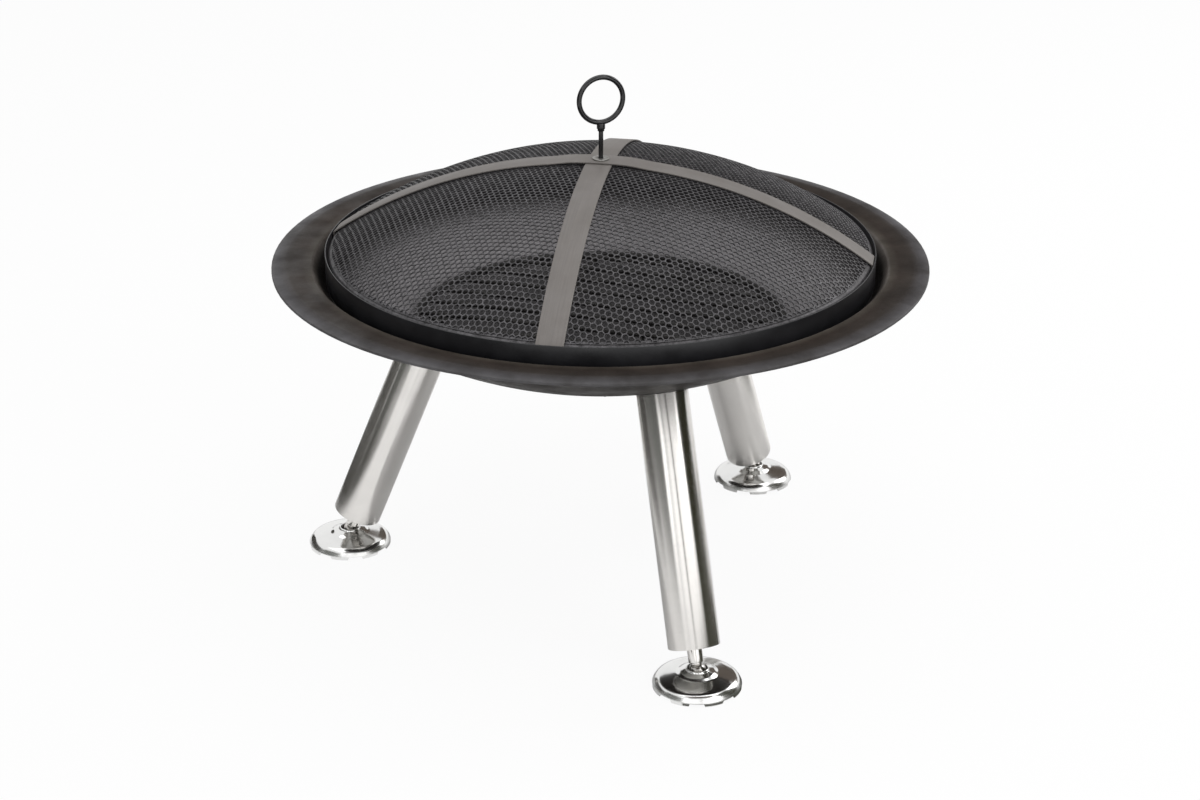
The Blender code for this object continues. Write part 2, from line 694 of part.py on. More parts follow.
def make_handle(parts, helpers, finishes):
    """The ring on its rod, the washers above and below the net, and the nut."""
    below = HOOP_TOP + NET_RISE - NET_WIRE - GAP - HANDLE_WASHER
    handle_washer("handle_washer_top", STRAP_TOP + GAP, parts, finishes["fastener"])
    handle_washer("handle_washer_bottom", below, parts, finishes["fastener"])

    nut_top = below - GAP
    nut = cylinder("handle_nut", NUT_RADIUS, nut_top - NUT, nut_top, 6)
    parts.objects.link(nut)
    nut.data.materials.append(finishes["fastener"])
    bore = cylinder("nut_bore", ROD_RADIUS + GAP, nut_top - 2 * NUT, nut_top + NUT, ROD_SIDES)
    combine(nut, "DIFFERENCE", as_helper(bore, helpers))

    circle = arc((RING_RADIUS, 0), RING_WIRE, 0, -2 * math.pi, RING_WIRE_SIDES)[:-1]
    mesh = mesh_of(turned("ring_wire", circle, RING_SIDES, closed=True), helpers)
    upright = Matrix.Translation((0, 0, RING_HEIGHT)) @ Matrix.Rotation(math.pi / 2, 4, "X")
    mesh.transform(upright)
    handle = add_object("ring_handle", mesh, parts, finishes["handle"])
    collar_top = COLLAR_BOTTOM + RING_COLLAR
    collar = cylinder("ring_collar", RING_COLLAR_RADIUS, COLLAR_BOTTOM, collar_top, FASTENER_SIDES)
    combine(handle, "UNION", as_helper(collar, helpers))
    end = nut_top - NUT - ROD_SPARE
    middle = COLLAR_BOTTOM + RING_COLLAR / 2
    shaft = cylinder("ring_rod", ROD_RADIUS, end, middle, ROD_SIDES)
    combine(handle, "UNION", as_helper(shaft, helpers))


def make_screen(parts, helpers, finishes):
    make_hoop(parts, finishes["hoop"])
    make_net(parts, helpers, finishes["net"])
    make_strap("screen_strap_lower", LOWER_STRAP_TURN, 0.0, parts, helpers, finishes["strap"])
    lift = STRAP_SHEET + GAP
    make_strap("screen_strap_upper", UPPER_STRAP_TURN, lift, parts, helpers, finishes["strap"])
    make_handle(parts, helpers, finishes)


def make_finishes():
    return {
        "bowl": finish("bowl_paint", (0.035, 0.032, 0.030), 0.45, 0.3),
        "tube": finish("tube_steel", (0.62, 0.60, 0.57), 0.28, 1.0),
        "stem": finish("stem_steel", (0.60, 0.57, 0.52), 0.22, 1.0),
        "disc": finish("disc_chrome", (0.80, 0.80, 0.79), 0.08, 1.0),
        "insert": finish("insert_plastic", (0.02, 0.02, 0.02), 0.6, 0.0),
        "fastener": finish("fastener_steel", (0.45, 0.44, 0.42), 0.35, 1.0),
        "grate": finish("grate_steel", (0.03, 0.028, 0.027), 0.6, 0.4),
        "hoop": finish("hoop_paint", (0.02, 0.02, 0.022), 0.4, 0.3),
        "net": finish("net_steel", (0.06, 0.058, 0.06), 0.45, 0.6),
        "strap": finish("strap_steel", (0.38, 0.35, 0.32), 0.4, 0.9),
        "handle": finish("handle_paint", (0.012, 0.012, 0.013), 0.4, 0.2),
    }


def main():
    clear_scene()
    parts = new_collection("fire_bowl")
    helpers = new_collection("helpers")
    finishes = make_finishes()
    make_bowl(parts, helpers, finishes["bowl"])
    make_legs(parts, helpers, finishes)
    make_grate(parts, finishes["grate"])
    make_screen(parts, helpers, finishes)


if __name__ == "__main__":
    main()
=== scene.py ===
"""A steel fire bowl with its mesh spark screen, modelled piece by piece and set up for a picture."""
import json
import math

import bpy
from bpy.props import FloatProperty, FloatVectorProperty, IntProperty, PointerProperty
from mathutils import Matrix, Vector

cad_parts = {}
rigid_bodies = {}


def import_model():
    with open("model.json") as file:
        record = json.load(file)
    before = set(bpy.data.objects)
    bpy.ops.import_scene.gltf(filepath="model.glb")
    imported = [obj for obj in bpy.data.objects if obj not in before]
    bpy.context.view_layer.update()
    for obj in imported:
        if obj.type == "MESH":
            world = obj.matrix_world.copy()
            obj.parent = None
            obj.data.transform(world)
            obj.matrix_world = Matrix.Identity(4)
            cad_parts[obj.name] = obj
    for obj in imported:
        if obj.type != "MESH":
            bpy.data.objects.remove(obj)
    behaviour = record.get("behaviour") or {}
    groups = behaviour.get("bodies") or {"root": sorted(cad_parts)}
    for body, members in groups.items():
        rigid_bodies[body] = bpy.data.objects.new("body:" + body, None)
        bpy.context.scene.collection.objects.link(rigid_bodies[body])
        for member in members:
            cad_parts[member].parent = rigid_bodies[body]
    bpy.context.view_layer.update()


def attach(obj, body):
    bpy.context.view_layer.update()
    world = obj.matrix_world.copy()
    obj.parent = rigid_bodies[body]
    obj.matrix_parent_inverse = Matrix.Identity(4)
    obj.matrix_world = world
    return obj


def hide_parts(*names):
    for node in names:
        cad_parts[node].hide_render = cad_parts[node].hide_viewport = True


bl_info = {
    "name": "Fire Bowl",
    "version": (1, 0, 0),
    "blender": (4, 5, 0),
    "location": "View3D > Sidebar > Fire Bowl",
    "description": "Builds a fire bowl with a mesh spark screen, one piece at a time",
    "category": "Add Mesh",
}

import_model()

SIDES = {"front": 270.0, "right": 30.0, "left": 150.0}
GAP = 0.0003
TURN = 2 * math.pi

# The bowl: spun from one sheet, measured on its inner face.
RIM_RADIUS = 0.350
RIM_HEIGHT = 0.3692
BRIM_RADIUS = 0.336
BRIM_HEIGHT = 0.3710
CREST_RADIUS = 0.307
CREST_HEIGHT = 0.3693
WALL_FOOT_RADIUS = 0.285
WALL_FOOT_HEIGHT = 0.3421
DISH_DEPTH = 0.092
BOWL_SHEET = 0.0015
RIM_LIP = 0.0026
BOLT_HOLE = 0.0046
DISH_RADIUS = (WALL_FOOT_RADIUS**2 + DISH_DEPTH**2) / (2 * DISH_DEPTH)
DISH_CENTRE = WALL_FOOT_HEIGHT - DISH_DEPTH + DISH_RADIUS

# How the paint's tone goes from the dish to the rim: painted shade on the steep wall, painted highlights on
# the crest and the rim edge.
BRIM_TONE_AND_PAINTED_LIGHT = (
    (0.283, (1.4, 1.4, 1.4)),
    (0.288, (0.5, 0.5, 0.55)),
    (0.3005, (0.6, 0.6, 0.6)),
    (0.3060, (5.6, 5.6, 5.5)),
    (0.3095, (2.9, 2.8, 2.5)),
    (0.318, (1.4, 1.15, 1.0)),
    (0.332, (1.6, 1.45, 1.35)),
    (0.343, (3.5, 3.8, 4.4)),
    (0.350, (5.4, 6.0, 6.8)),
)

# The foot, above its own point on the floor.
BALL_RADIUS = 0.0105
BALL_HEIGHT = 0.0149
STEM_RADIUS = 0.0078
NECK_RADIUS = 0.0062
SHOULDER = 0.0102
DISC_RADIUS = 0.0464
DISC_SHEET = 0.0013
NOTCHES = 8
NOTCH_HEIGHT = 0.0033

# The leg, measured up from the foot's ball, square to the dish.
LEG_SEAT_RADIUS = 0.1818
LEG_TILT = math.asin(LEG_SEAT_RADIUS / DISH_RADIUS)
LEG_REACH = (DISH_CENTRE - BALL_HEIGHT) / math.cos(LEG_TILT)
FOOT_RADIUS = LEG_REACH * math.sin(LEG_TILT)
TUBE_RADIUS = 0.027
TUBE_WALL = 0.0015
TUBE_LIFT = 0.027
TUBE_TOP = 0.290263
WASHER_SEAT = 0.292574
WASHER = 0.0016
BOLT_SEAT = WASHER_SEAT + WASHER + GAP

# The fixings inside each leg: the plate under the dish, its bolt, and the plug that holds the stem.
PLATE = 0.005
PLATE_BORE = 0.0043
FIXING_WASHER_RADIUS = 0.012
BOLT_RADIUS = 0.004
BOLT_LENGTH = 0.016
PLUG_BOTTOM = TUBE_LIFT + 0.003
PLUG_FLANGE = 0.004
PLUG_HEIGHT = 0.022
PLUG_RADIUS = 0.013
PLUG_BORE = 0.0081
STEM_TOP = PLUG_BOTTOM + PLUG_HEIGHT + 0.012
SHANK_TOP = TUBE_LIFT + 0.001
THREAD_DEPTH = 0.0009

# The grate, which rests inside the dish.
GRATE_RADIUS = 0.198792
GRATE_HEIGHT = 0.297443
GRATE_WIRE = 0.0035
GRATE_TURN = math.radians(-35.0)
BAR_WIRE = 0.0026
BAR_PITCH = 0.036
BARS_ASIDE = 5
CROSS_BAR_HEIGHT = 0.293443
CROSS_BAR_OFFSET = 0.055032
CROSS_BAR_REACH = 0.2009

# The spark screen: hoop, net, straps and the ring that lifts it.
HOOP_RADIUS = 0.2935
HOOP_SHEET = 0.0012
HOOP_TOP = 0.383
HOOP_BOTTOM = 0.353086
NET_RIM_RADIUS = 0.287338
NET_SPHERE = 0.497357
NET_CENTRE = -0.023957
NET_TURN = math.radians(21.5)
NET_TRIMS = 96
STRAP_WIDTH = 0.028
STRAP_SHEET = 0.0012
STRAP_TAB = 0.014
TAB_RADIUS = 0.289838
NET_SOLID_SHEET = 0.0022
STRAP_SPHERE = NET_SPHERE + NET_SOLID_SHEET / 2 + GAP
LOWER_STRAP_TURN = math.radians(60.0)
UPPER_STRAP_TURN = math.radians(150.0)
STRAP_TOP = 0.4775
RING_RADIUS = 0.02425
RING_WIRE = 0.00275
RING_HEIGHT = 0.54195
COLLAR_BOTTOM = 0.5082
COLLAR = 0.0095
COLLAR_RADIUS = 0.0045
ROD_RADIUS = 0.0025
ROD_END = 0.4616
HANDLE_WASHER_RADIUS = 0.009
HANDLE_WASHER = 0.0012
LOWER_WASHER = 0.4708
NUT_TOP = 0.4705
NUT = 0.0045
NUT_RADIUS = 0.0055

# The stage: lamps by name, place, width, height and power.
LAMPS = (
    ("key", (1.5, -2.7, 2.1), 2.0, 2.0, 30.0),
    ("top", (0.0, -0.2, 3.2), 3.6, 3.6, 46.0),
    ("fill", (-2.6, -1.6, 1.5), 2.0, 2.0, 15.0),
    ("side", (2.5, 0.7, 1.7), 1.6, 1.6, 22.0),
)
BLACK = (0.04, 0.038, 0.032)
OLIVE = (0.02, 0.02, 0.005)
BROWN = (0.10, 0.08, 0.065)
GREY = (0.12, 0.125, 0.115)
WHITE = (1, 1, 1)
# Cards by name, tone, azimuth, distance, width and two heights, then the depth of one that lies
# flat, and the glow of one that gives light.
CARDS = (
    ("card_left", BLACK, 135, 1.9, 2.2, (0.0, 1.0)),
    ("card_grey", GREY, 193, 1.8, 1.75, (0.0, 1.5)),
    ("card_right", OLIVE, 333, 1.6, 1.5, (0.0, 2.4)),
    ("card_back", BROWN, 43.5, 2.7, 2.69, (0.75, 2.1)),
    ("card_over", BROWN, 262, 1.2, 2.0, (2.2, 2.2), 1.0),
    ("card_floor_left", BLACK, 147, 0.68, 1.1, (0.0006, 0.0006), 0.55),
    ("card_floor_far", BLACK, 150, 1.45, 1.7, (0.0006, 0.0006), 0.9),
    ("card_floor_right", OLIVE, 333, 1.0, 1.2, (0.0006, 0.0006), 1.0),
    ("card_floor_near", OLIVE, 299, 0.47, 0.4, (0.0008, 0.0008), 0.4),
    ("card_line", BROWN, 261, 2.2, 0.12, (0.0, 2.0)),
    ("panel_near", WHITE, 249, 2.23, 0.6, (0.0, 2.0), 0.0, 1.5),
    ("panel_far", WHITE, 282, 2.26, 1.35, (0.0, 2.0), 0.0, 1.5),
)
CAMERA_PLACE = (-0.8637, -2.3312, 1.2852)
CAMERA_AIM = (0, 0, 0.2003)
CAMERA_ROLL = math.radians(0.204)
CAMERA_LENS = 74.09


def measure(name, description, default, low, high):
    """A length that can be changed in the sidebar."""
    return FloatProperty(
        name=name, description=description, default=default, min=low, max=high, precision=4,
        unit="LENGTH",
    )


def tint(name, description, *colour):
    """A colour that can be changed in the sidebar."""
    return FloatVectorProperty(
        name=name, description=description, subtype="COLOR", size=4, min=0, max=1, default=(*colour, 1),
    )


class FireBowlSizes(bpy.types.PropertyGroup):
    """Sizes of the detail that the solids leave plain."""

    round_sides: IntProperty(
        name="Sides of the bowl", description="Steps in one turn of the bowl and the hoop",
        default=128, min=48, max=256,
    )
    tube_sides: IntProperty(
        name="Sides of a tube", description="Steps in one turn of a leg tube or a foot",
        default=64, min=24, max=128,
    )
    edge: measure(
        "Edge rounding", "Width of the bevel on sheared and cut edges", 0.0003, 0.0001, 0.001,
    )
    net_cell: measure(
        "Net pitch", "Distance from one opening of the net to the next", 0.00645, 0.005, 0.02,
    )
    net_strand: measure(
        "Net strand", "Width of the metal between two openings", 0.0011, 0.0005, 0.004,
    )
    net_sheet: measure("Net thickness", "Thickness of the net's metal", 0.0012, 0.0004, 0.003)
    thread_pitch: measure("Thread pitch", "Rise of the foot screw in one turn", 0.002, 0.001, 0.004)


class FireBowlColours(bpy.types.PropertyGroup):
    """Base colours of the finishes."""

    bowl: tint("Bowl", "High-heat paint on the bowl", 0.022, 0.0195, 0.018)
    ash: tint("Ash", "Greyed paint inside the bowl", 0.34, 0.325, 0.335)
    tube: tint("Leg tubes", "Polished stainless steel", 0.76, 0.74, 0.715)
    chrome: tint("Feet", "Polished plating on the foot discs", 0.80, 0.80, 0.79)
    zinc: tint("Fixings", "Zinc plating on bolts, washers and plates", 0.50, 0.49, 0.47)
    plastic: tint("Foot sockets", "Moulded plastic under the discs", 0.03, 0.03, 0.03)
    grate: tint("Grate", "Dull paint on the log grate", 0.016, 0.014, 0.013)
    hoop: tint("Hoop", "Satin paint on the screen's hoop", 0.012, 0.012, 0.014)
    net: tint("Net", "Dark finish of the mesh", 0.088, 0.085, 0.090)
    strap: tint("Straps", "Brushed metal of the two straps", 0.17, 0.157, 0.149)
    handle: tint("Handle", "Gloss paint on the ring and its rod", 0.012, 0.012, 0.013)


def sizes():
    return bpy.context.scene.fire_bowl_sizes


def colours():
    return bpy.context.scene.fire_bowl_colours


def deselect():
    """Goes to object mode with nothing selected."""
    if bpy.context.mode != "OBJECT":
        bpy.ops.object.mode_set(mode="OBJECT")
    bpy.ops.object.select_all(action="DESELECT")


def take(piece, *others):
    """Selects a piece, and others with it, and makes it the active one."""
    deselect()
    for each in (piece, *others):
        each.select_set(True)
    bpy.context.view_layer.objects.active = piece
    return piece


def named(name):
    """Gives the primitive that was just added its name, with its place in its mesh."""
    piece = bpy.context.object
    piece.name = name
    bpy.ops.object.transform_apply(location=True, rotation=True, scale=True)
    return piece


def copied(piece, name):
    take(piece)
    bpy.ops.object.duplicate(linked=False)
    copy = bpy.context.object
    copy.name = name
    return copy


def joined(pieces, name):
    take(*pieces)
    bpy.ops.object.join()
    bpy.context.object.name = name
    return bpy.context.object


def set_down(piece, matrix):
    """Moves a piece to its place and keeps the place in its mesh."""
    take(piece)
    piece.matrix_world = matrix
    bpy.ops.object.transform_apply(location=True, rotation=True, scale=True)
    return piece


def edit(piece, kind="VERT"):
    """Opens a piece in edit mode with everything selected."""
    take(piece)
    bpy.ops.object.mode_set(mode="EDIT")
    bpy.ops.mesh.select_mode(type=kind)
    bpy.ops.mesh.select_all(action="SELECT")


def pick(piece, kind, test):
    """Selects the vertices, edges or faces whose middle passes the test, and stays in edit mode."""
    bpy.ops.object.mode_set(mode="EDIT")
    bpy.ops.mesh.select_mode(type=kind)
    bpy.ops.mesh.select_all(action="DESELECT")
    bpy.ops.object.mode_set(mode="OBJECT")
    mesh = piece.data
    if kind == "VERT":
        for vertex in mesh.vertices:
            vertex.select = test(vertex.co)
    elif kind == "EDGE":
        for side in mesh.edges:
            ends = [mesh.vertices[index].co for index in side.vertices]
            side.select = test((ends[0] + ends[1]) / 2)
    else:
        for face in mesh.polygons:
            face.select = test(face.center)
    bpy.ops.object.mode_set(mode="EDIT")


def modify(piece, kind, **settings):
    """Adds a modifier with its settings and applies it."""
    take(piece)
    bpy.ops.object.modifier_add(type=kind)
    modifier = piece.modifiers[-1]
    for key, value in settings.items():
        setattr(modifier, key, value)
    bpy.ops.object.modifier_apply(modifier=modifier.name)


def smooth(piece, angle=30.0):
    take(piece)
    bpy.ops.object.shade_smooth_by_angle(angle=math.radians(angle))


def eased(piece, angle=50.0, segments=2, width=None):
    """Bevels the edges that bend by more than the angle."""
    modify(
        piece, "BEVEL", width=width or sizes().edge, segments=segments, limit_method="ANGLE",
        angle_limit=math.radians(angle),
    )


def thickened(piece, sheet, offset=-1.0):
    """Gives an open sheet its thickness, inwards or outwards."""
    modify(piece, "SOLIDIFY", thickness=sheet, offset=offset, use_even_offset=True)


def cylinder(name, sides, radius, length, place=(0, 0, 0), turn=(0, 0, 0), ends="NGON"):
    deselect()
    bpy.ops.mesh.primitive_cylinder_add(
        vertices=sides, radius=radius, depth=length, end_fill_type=ends, location=place, rotation=turn,
    )
    return named(name)


def started(name, x, z):
    """Starts a profile in the XZ plane with one vertex, and stays in edit mode."""
    deselect()
    bpy.ops.mesh.primitive_plane_add(size=0.001, location=(x, 0, z))
    piece = named(name)
    edit(piece)
    bpy.ops.mesh.merge(type="CENTER")
    return piece


def arc(name, radius, centre, angle, steps):
    """Draws an arc in the XZ plane, up from its lowest point on the Z axis."""
    piece = started(name, 0, centre - radius)
    bpy.ops.mesh.spin(steps=steps, angle=angle, center=(0, 0, centre), axis=(0, 1, 0))
    bpy.ops.object.mode_set(mode="OBJECT")
    if min(vertex.co.x for vertex in piece.data.vertices) < -GAP:
        raise RuntimeError(name + " went round the wrong way")
    return piece


def drawn(name, corners, steps=6):
    """Draws a profile in the XZ plane from (radius, height, rounding) corners, by extruding."""
    x, z = corners[0][:2]
    piece = started(name, x, z)
    for corner in corners[1:]:
        move = (corner[0] - x, 0, corner[1] - z)
        bpy.ops.mesh.extrude_region_move(TRANSFORM_OT_translate={"value": move})
        x, z = corner[:2]
    for before, corner, after in zip(corners, corners[1:], corners[2:]):
        if len(corner) < 3:
            continue
        place = Vector(corner[:2])
        bend = (place - Vector(before[:2])).angle(Vector(after[:2]) - place)
        corner_at = Vector((place.x, 0, place.y))
        pick(piece, "VERT", lambda point: (point - corner_at).length < 0.00002)
        bpy.ops.mesh.bevel(affect="VERTICES", offset=corner[2] * math.tan(bend / 2), segments=steps)
    return piece


def spun(piece, sides):
    """Spins the drawn profile once round the Z axis and closes it."""
    edit(piece)
    bpy.ops.mesh.remove_doubles(threshold=0.000002)
    bpy.ops.mesh.select_all(action="SELECT")
    bpy.ops.mesh.spin(steps=sides, angle=TURN, center=(0, 0, 0), axis=(0, 0, 1))
    bpy.ops.mesh.select_all(action="SELECT")
    bpy.ops.mesh.remove_doubles(threshold=0.000005)
    bpy.ops.mesh.normals_make_consistent(inside=False)
    bpy.ops.object.mode_set(mode="OBJECT")
    return piece


def face_up(piece):
    """Turns an open sheet's faces so that most of them look up."""
    if sum(face.normal.z * face.area for face in piece.data.polygons) < 0:
        edit(piece, "FACE")
        bpy.ops.mesh.flip_normals()
        bpy.ops.object.mode_set(mode="OBJECT")


def cut(piece, cutter):
    """Takes the cutter's shape out of the piece."""
    modify(piece, "BOOLEAN", operation="DIFFERENCE", solver="EXACT", object=cutter)
    bpy.data.objects.remove(cutter, do_unlink=True)


def leg_matrix(azimuth):
    turn = Matrix.Rotation(math.radians(azimuth), 4, "Z")
    foot = Matrix.Translation((FOOT_RADIUS, 0, BALL_HEIGHT))
    return turn @ foot @ Matrix.Rotation(-LEG_TILT, 4, "Y")


def foot_matrix(azimuth):
    turn = Matrix.Rotation(math.radians(azimuth), 4, "Z")
    return turn @ Matrix.Translation((FOOT_RADIUS, 0, 0))


def at_every_leg(piece, matrix, finish, body, slot, node):
    """Copies a piece to the three legs and dresses the copies, then removes the first."""
    name = piece.name
    for side, azimuth in SIDES.items():
        copy = set_down(copied(piece, name + "_" + side), matrix(azimuth))
        look = finish(side) if callable(finish) else finish
        part = body if body == "base" else body + "_" + side
        dress(copy, look, part, slot, node + "_" + side)
    bpy.data.objects.remove(piece, do_unlink=True)


def dress(piece, material, body, slot, *nodes):
    """Gives a piece its finish, its body and the nodes that it stands for. The slot is not used."""
    piece.data.materials.clear()
    piece.data.materials.append(material)
    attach(piece, body)
    if nodes:
        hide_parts(*nodes)


def new_finish(name, colour, metallic, roughness):
    """A new material, its nodes and its shader, with the values that are the same all over."""
    material = bpy.data.materials.new(name)
    material.use_nodes = True
    tree = material.node_tree
    shader = tree.nodes["Principled BSDF"]
    shader.inputs["Base Color"].default_value = colour
    shader.inputs["Metallic"].default_value = metallic
    shader.inputs["Roughness"].default_value = roughness
    return material, tree, shader


def coated(tree, shader, tone, rough):
    """Links a tone and a roughness that change over the surface."""
    tree.links.new(tone, shader.inputs["Base Color"])
    tree.links.new(rough, shader.inputs["Roughness"])


def place_nodes(tree, stretch=(1, 1, 1), turn=(0, 0, 0)):
    """Object coordinates in a piece's own turn, then stretched for a grain."""
    where = tree.nodes.new("ShaderNodeTexCoord")
    mapping = tree.nodes.new("ShaderNodeMapping")
    mapping.vector_type = "TEXTURE"
    mapping.inputs["Rotation"].default_value = turn
    mapping.inputs["Scale"].default_value = [1 / share for share in stretch]
    tree.links.new(where.outputs["Object"], mapping.inputs["Vector"])
    return mapping.outputs["Vector"]


def parted(tree, vector):
    """Takes a vector apart into its X, Y and Z."""
    node = tree.nodes.new("ShaderNodeSeparateXYZ")
    tree.links.new(vector, node.inputs[0])
    return node.outputs


def maths(tree, operation, *values, clamp=False):
    """Works out one number from sockets and plain numbers."""
    node = tree.nodes.new("ShaderNodeMath")
    node.operation = operation
    node.use_clamp = clamp
    for socket, value in zip(node.inputs, values):
        if isinstance(value, float):
            socket.default_value = value
        else:
            tree.links.new(value, socket)
    return node.outputs[0]


def noise(tree, place, scale, detail=4.0, rough=0.55):
    node = tree.nodes.new("ShaderNodeTexNoise")
    node.inputs["Scale"].default_value = scale
    node.inputs["Detail"].default_value = detail
    node.inputs["Roughness"].default_value = rough
    tree.links.new(place, node.inputs["Vector"])
    return node.outputs["Fac"]


def ramp(tree, value, low, high, colour_low, colour_high):
    """Turns a value from low to high into a blend of two colours."""
    node = tree.nodes.new("ShaderNodeValToRGB")
    ends = zip(node.color_ramp.elements, (low, high), (colour_low, colour_high))
    for stop, position, colour in ends:
        stop.position = position
        stop.color = colour
    tree.links.new(value, node.inputs["Fac"])
    return node.outputs["Color"]


def spread(tree, value, low, high, out_low, out_high):
    """Maps a value onto another range."""
    node = tree.nodes.new("ShaderNodeMapRange")
    ranges = (("From Min", low), ("From Max", high), ("To Min", out_low), ("To Max", out_high))
    for name, limit in ranges:
        node.inputs[name].default_value = limit
    tree.links.new(value, node.inputs["Value"])
    return node.outputs["Result"]


def mixed(tree, share, first, second, blend="MIX"):
    """Blends a second colour into a first, by a share that is a socket or a plain number."""
    node = tree.nodes.new("ShaderNodeMix")
    node.data_type = "RGBA"
    node.blend_type = blend
    if isinstance(share, float):
        node.inputs[0].default_value = share
    else:
        tree.links.new(share, node.inputs[0])
    tree.links.new(first, node.inputs[6])
    tree.links.new(second, node.inputs[7])
    return node.outputs[2]


def multiplied(tree, first, second):
    return mixed(tree, 1.0, first, second, "MULTIPLY")


def bump(tree, shader, value, distance, strength):
    node = tree.nodes.new("ShaderNodeBump")
    node.inputs["Distance"].default_value = distance
    node.inputs["Strength"].default_value = strength
    tree.links.new(value, node.inputs["Height"])
    tree.links.new(node.outputs["Normal"], shader.inputs["Normal"])


def shade(colour, factor):
    return (colour[0] * factor, colour[1] * factor, colour[2] * factor, 1)


def bowl_finish():
    """Matt high-heat paint, smudged and heat-browned, with painted shade and highlights across the brim,
    and its inside greyed by ash that is darker under the grate, as painted shade and burning.
    """
    colour = colours().bowl
    ash = colours().ash
    material, tree, shader = new_finish("bowl_paint", colour, 0.0, 0.45)
    shader.inputs["Specular IOR Level"].default_value = 0.07
    place = place_nodes(tree)
    facing = parted(tree, tree.nodes.new("ShaderNodeTexCoord").outputs["Normal"])
    looks_in = spread(tree, facing["Z"], 0.1, 0.3, 0.0, 1.0)
    flat = tree.nodes.new("ShaderNodeVectorMath")
    flat.operation = "MULTIPLY"
    flat.inputs[1].default_value = (1, 1, 0)
    tree.links.new(place, flat.inputs[0])
    radius = tree.nodes.new("ShaderNodeVectorMath")
    radius.operation = "LENGTH"
    tree.links.new(flat.outputs[0], radius.inputs[0])
    away = radius.outputs["Value"]
    # Across the radius: painted shade on the steep wall, and painted highlights on the crest and the rolled
    # rim edge.
    wear_and_sheen = tree.nodes.new("ShaderNodeValToRGB")
    low, high = BRIM_TONE_AND_PAINTED_LIGHT[0][0], BRIM_TONE_AND_PAINTED_LIGHT[-1][0]
    tree.links.new(spread(tree, away, low, high, 0.0, 1.0), wear_and_sheen.inputs["Fac"])
    for _ in BRIM_TONE_AND_PAINTED_LIGHT[2:]:
        wear_and_sheen.color_ramp.elements.new(0.5)
    for stop, (reach, factors) in zip(wear_and_sheen.color_ramp.elements, BRIM_TONE_AND_PAINTED_LIGHT):
        stop.position = (reach - low) / (high - low)
        stop.color = [share * factor for share, factor in zip(colour, factors)] + [1]
    patches = noise(tree, place, 16.0, 6.0, 0.62)
    smudge = ramp(tree, patches, 0.36, 0.66, (0.45, 0.43, 0.41, 1), (1, 1, 1, 1))
    paint = multiplied(tree, wear_and_sheen.outputs["Color"], smudge)
    # Under the grate the ash darkens to a fifth: painted shade of the grate, and burnt ash.
    ash_shade_radius = maths(tree, "MULTIPLY_ADD", noise(tree, place, 22.0, 6.0, 0.65), 0.03, away)
    inside = ramp(tree, ash_shade_radius, 0.195, 0.235, shade(ash, 0.2), shade(ash, 1.0))
    under_rim = spread(tree, away, 0.262, 0.285, 1.0, 0.0)
    tone = mixed(tree, maths(tree, "MULTIPLY", looks_in, under_rim), paint, inside)
    smudges = noise(tree, place, 26.0, 5.0, 0.6)
    coated(tree, shader, tone, spread(tree, smudges, 0.35, 0.70, 0.34, 0.6))
    bump(tree, shader, noise(tree, place, 900.0, 2.0, 0.5), 0.0002, 0.3)
    return material


def polished_finish(name, colour, roughness, stretch, turn=(0, 0, 0)):
    """Polished metal with fine lines and faint wipe marks."""
    material, tree, shader = new_finish(name, colour, 1.0, roughness)
    lines = noise(tree, place_nodes(tree, stretch, turn), 1.0, 3.0, 0.6)
    wipes = noise(tree, place_nodes(tree), 14.0, 4.0, 0.6)
    tone = ramp(tree, wipes, 0.3, 0.7, shade(colour, 0.93), shade(colour, 1.04))
    coated(tree, shader, tone, spread(tree, lines, 0.3, 0.7, roughness * 0.95, roughness * 1.08))
    return material, tree, shader


def disc_finish():
    """Bright plating, polished on the dome and scuffed dull down the skirt."""
    material, tree, shader = polished_finish("disc_chrome", colours().chrome, 0.12, (60, 60, 60))
    height = parted(tree, place_nodes(tree))["Z"]
    tree.links.new(spread(tree, height, 0.003, 0.0112, 0.36, 0.12), shader.inputs["Roughness"])
    return material


def stem_finish():
    """Turned steel, bright on the shank and darker towards the bottom, where it goes into the disc."""
    material, tree, shader = polished_finish("stem_steel", colours().tube, 0.16, (90, 90, 400))
    height = parted(tree, place_nodes(tree))["Z"]
    # Darker towards the bottom of the stem, down to a tenth of its tone.
    darker_low_down = ramp(tree, height, 0.0205, 0.0245, (0.10, 0.09, 0.08, 1), (1, 1, 1, 1))
    base = shader.inputs["Base Color"]
    tree.links.new(multiplied(tree, base.links[0].from_socket, darker_low_down), base)
    return material


def tube_finish(side):
    """Steel polished round the tube, whose fine turns draw every reflection out along its length."""
    azimuth = SIDES[side]
    turn = (0, -LEG_TILT, math.radians(azimuth))
    name = "tube_steel_" + side
    material, tree, shader = polished_finish(name, colours().tube, 0.24, (12, 12, 700), turn)
    shader.inputs["Anisotropic"].default_value = 0.95
    along = tree.nodes.new("ShaderNodeCombineXYZ")
    axis = leg_matrix(azimuth).to_3x3() @ Vector((0, 0, 1))
    for socket, share in zip(along.inputs, axis):
        socket.default_value = share
    tree.links.new(along.outputs[0], shader.inputs["Tangent"])
    return material


def brushed_finish(name, colour, roughness, stretch, turn):
    """Metal brushed along its length, with darker handling marks and a soft shine."""
    material, tree, shader = new_finish(name, colour, 0.12, roughness)
    lines = noise(tree, place_nodes(tree, stretch, turn), 1.0, 3.0, 0.65)
    marks = noise(tree, place_nodes(tree), 22.0, 5.0, 0.6)
    tone = ramp(tree, lines, 0.3, 0.7, shade(colour, 0.86), shade(colour, 1.14))
    handled = ramp(tree, marks, 0.3, 0.7, (0.80, 0.785, 0.76, 1), (1, 1, 1, 1))
    rough = spread(tree, lines, 0.3, 0.7, roughness * 0.85, roughness * 1.2)
    coated(tree, shader, multiplied(tree, tone, handled), rough)
    bump(tree, shader, lines, 0.00003, 0.4)
    return material


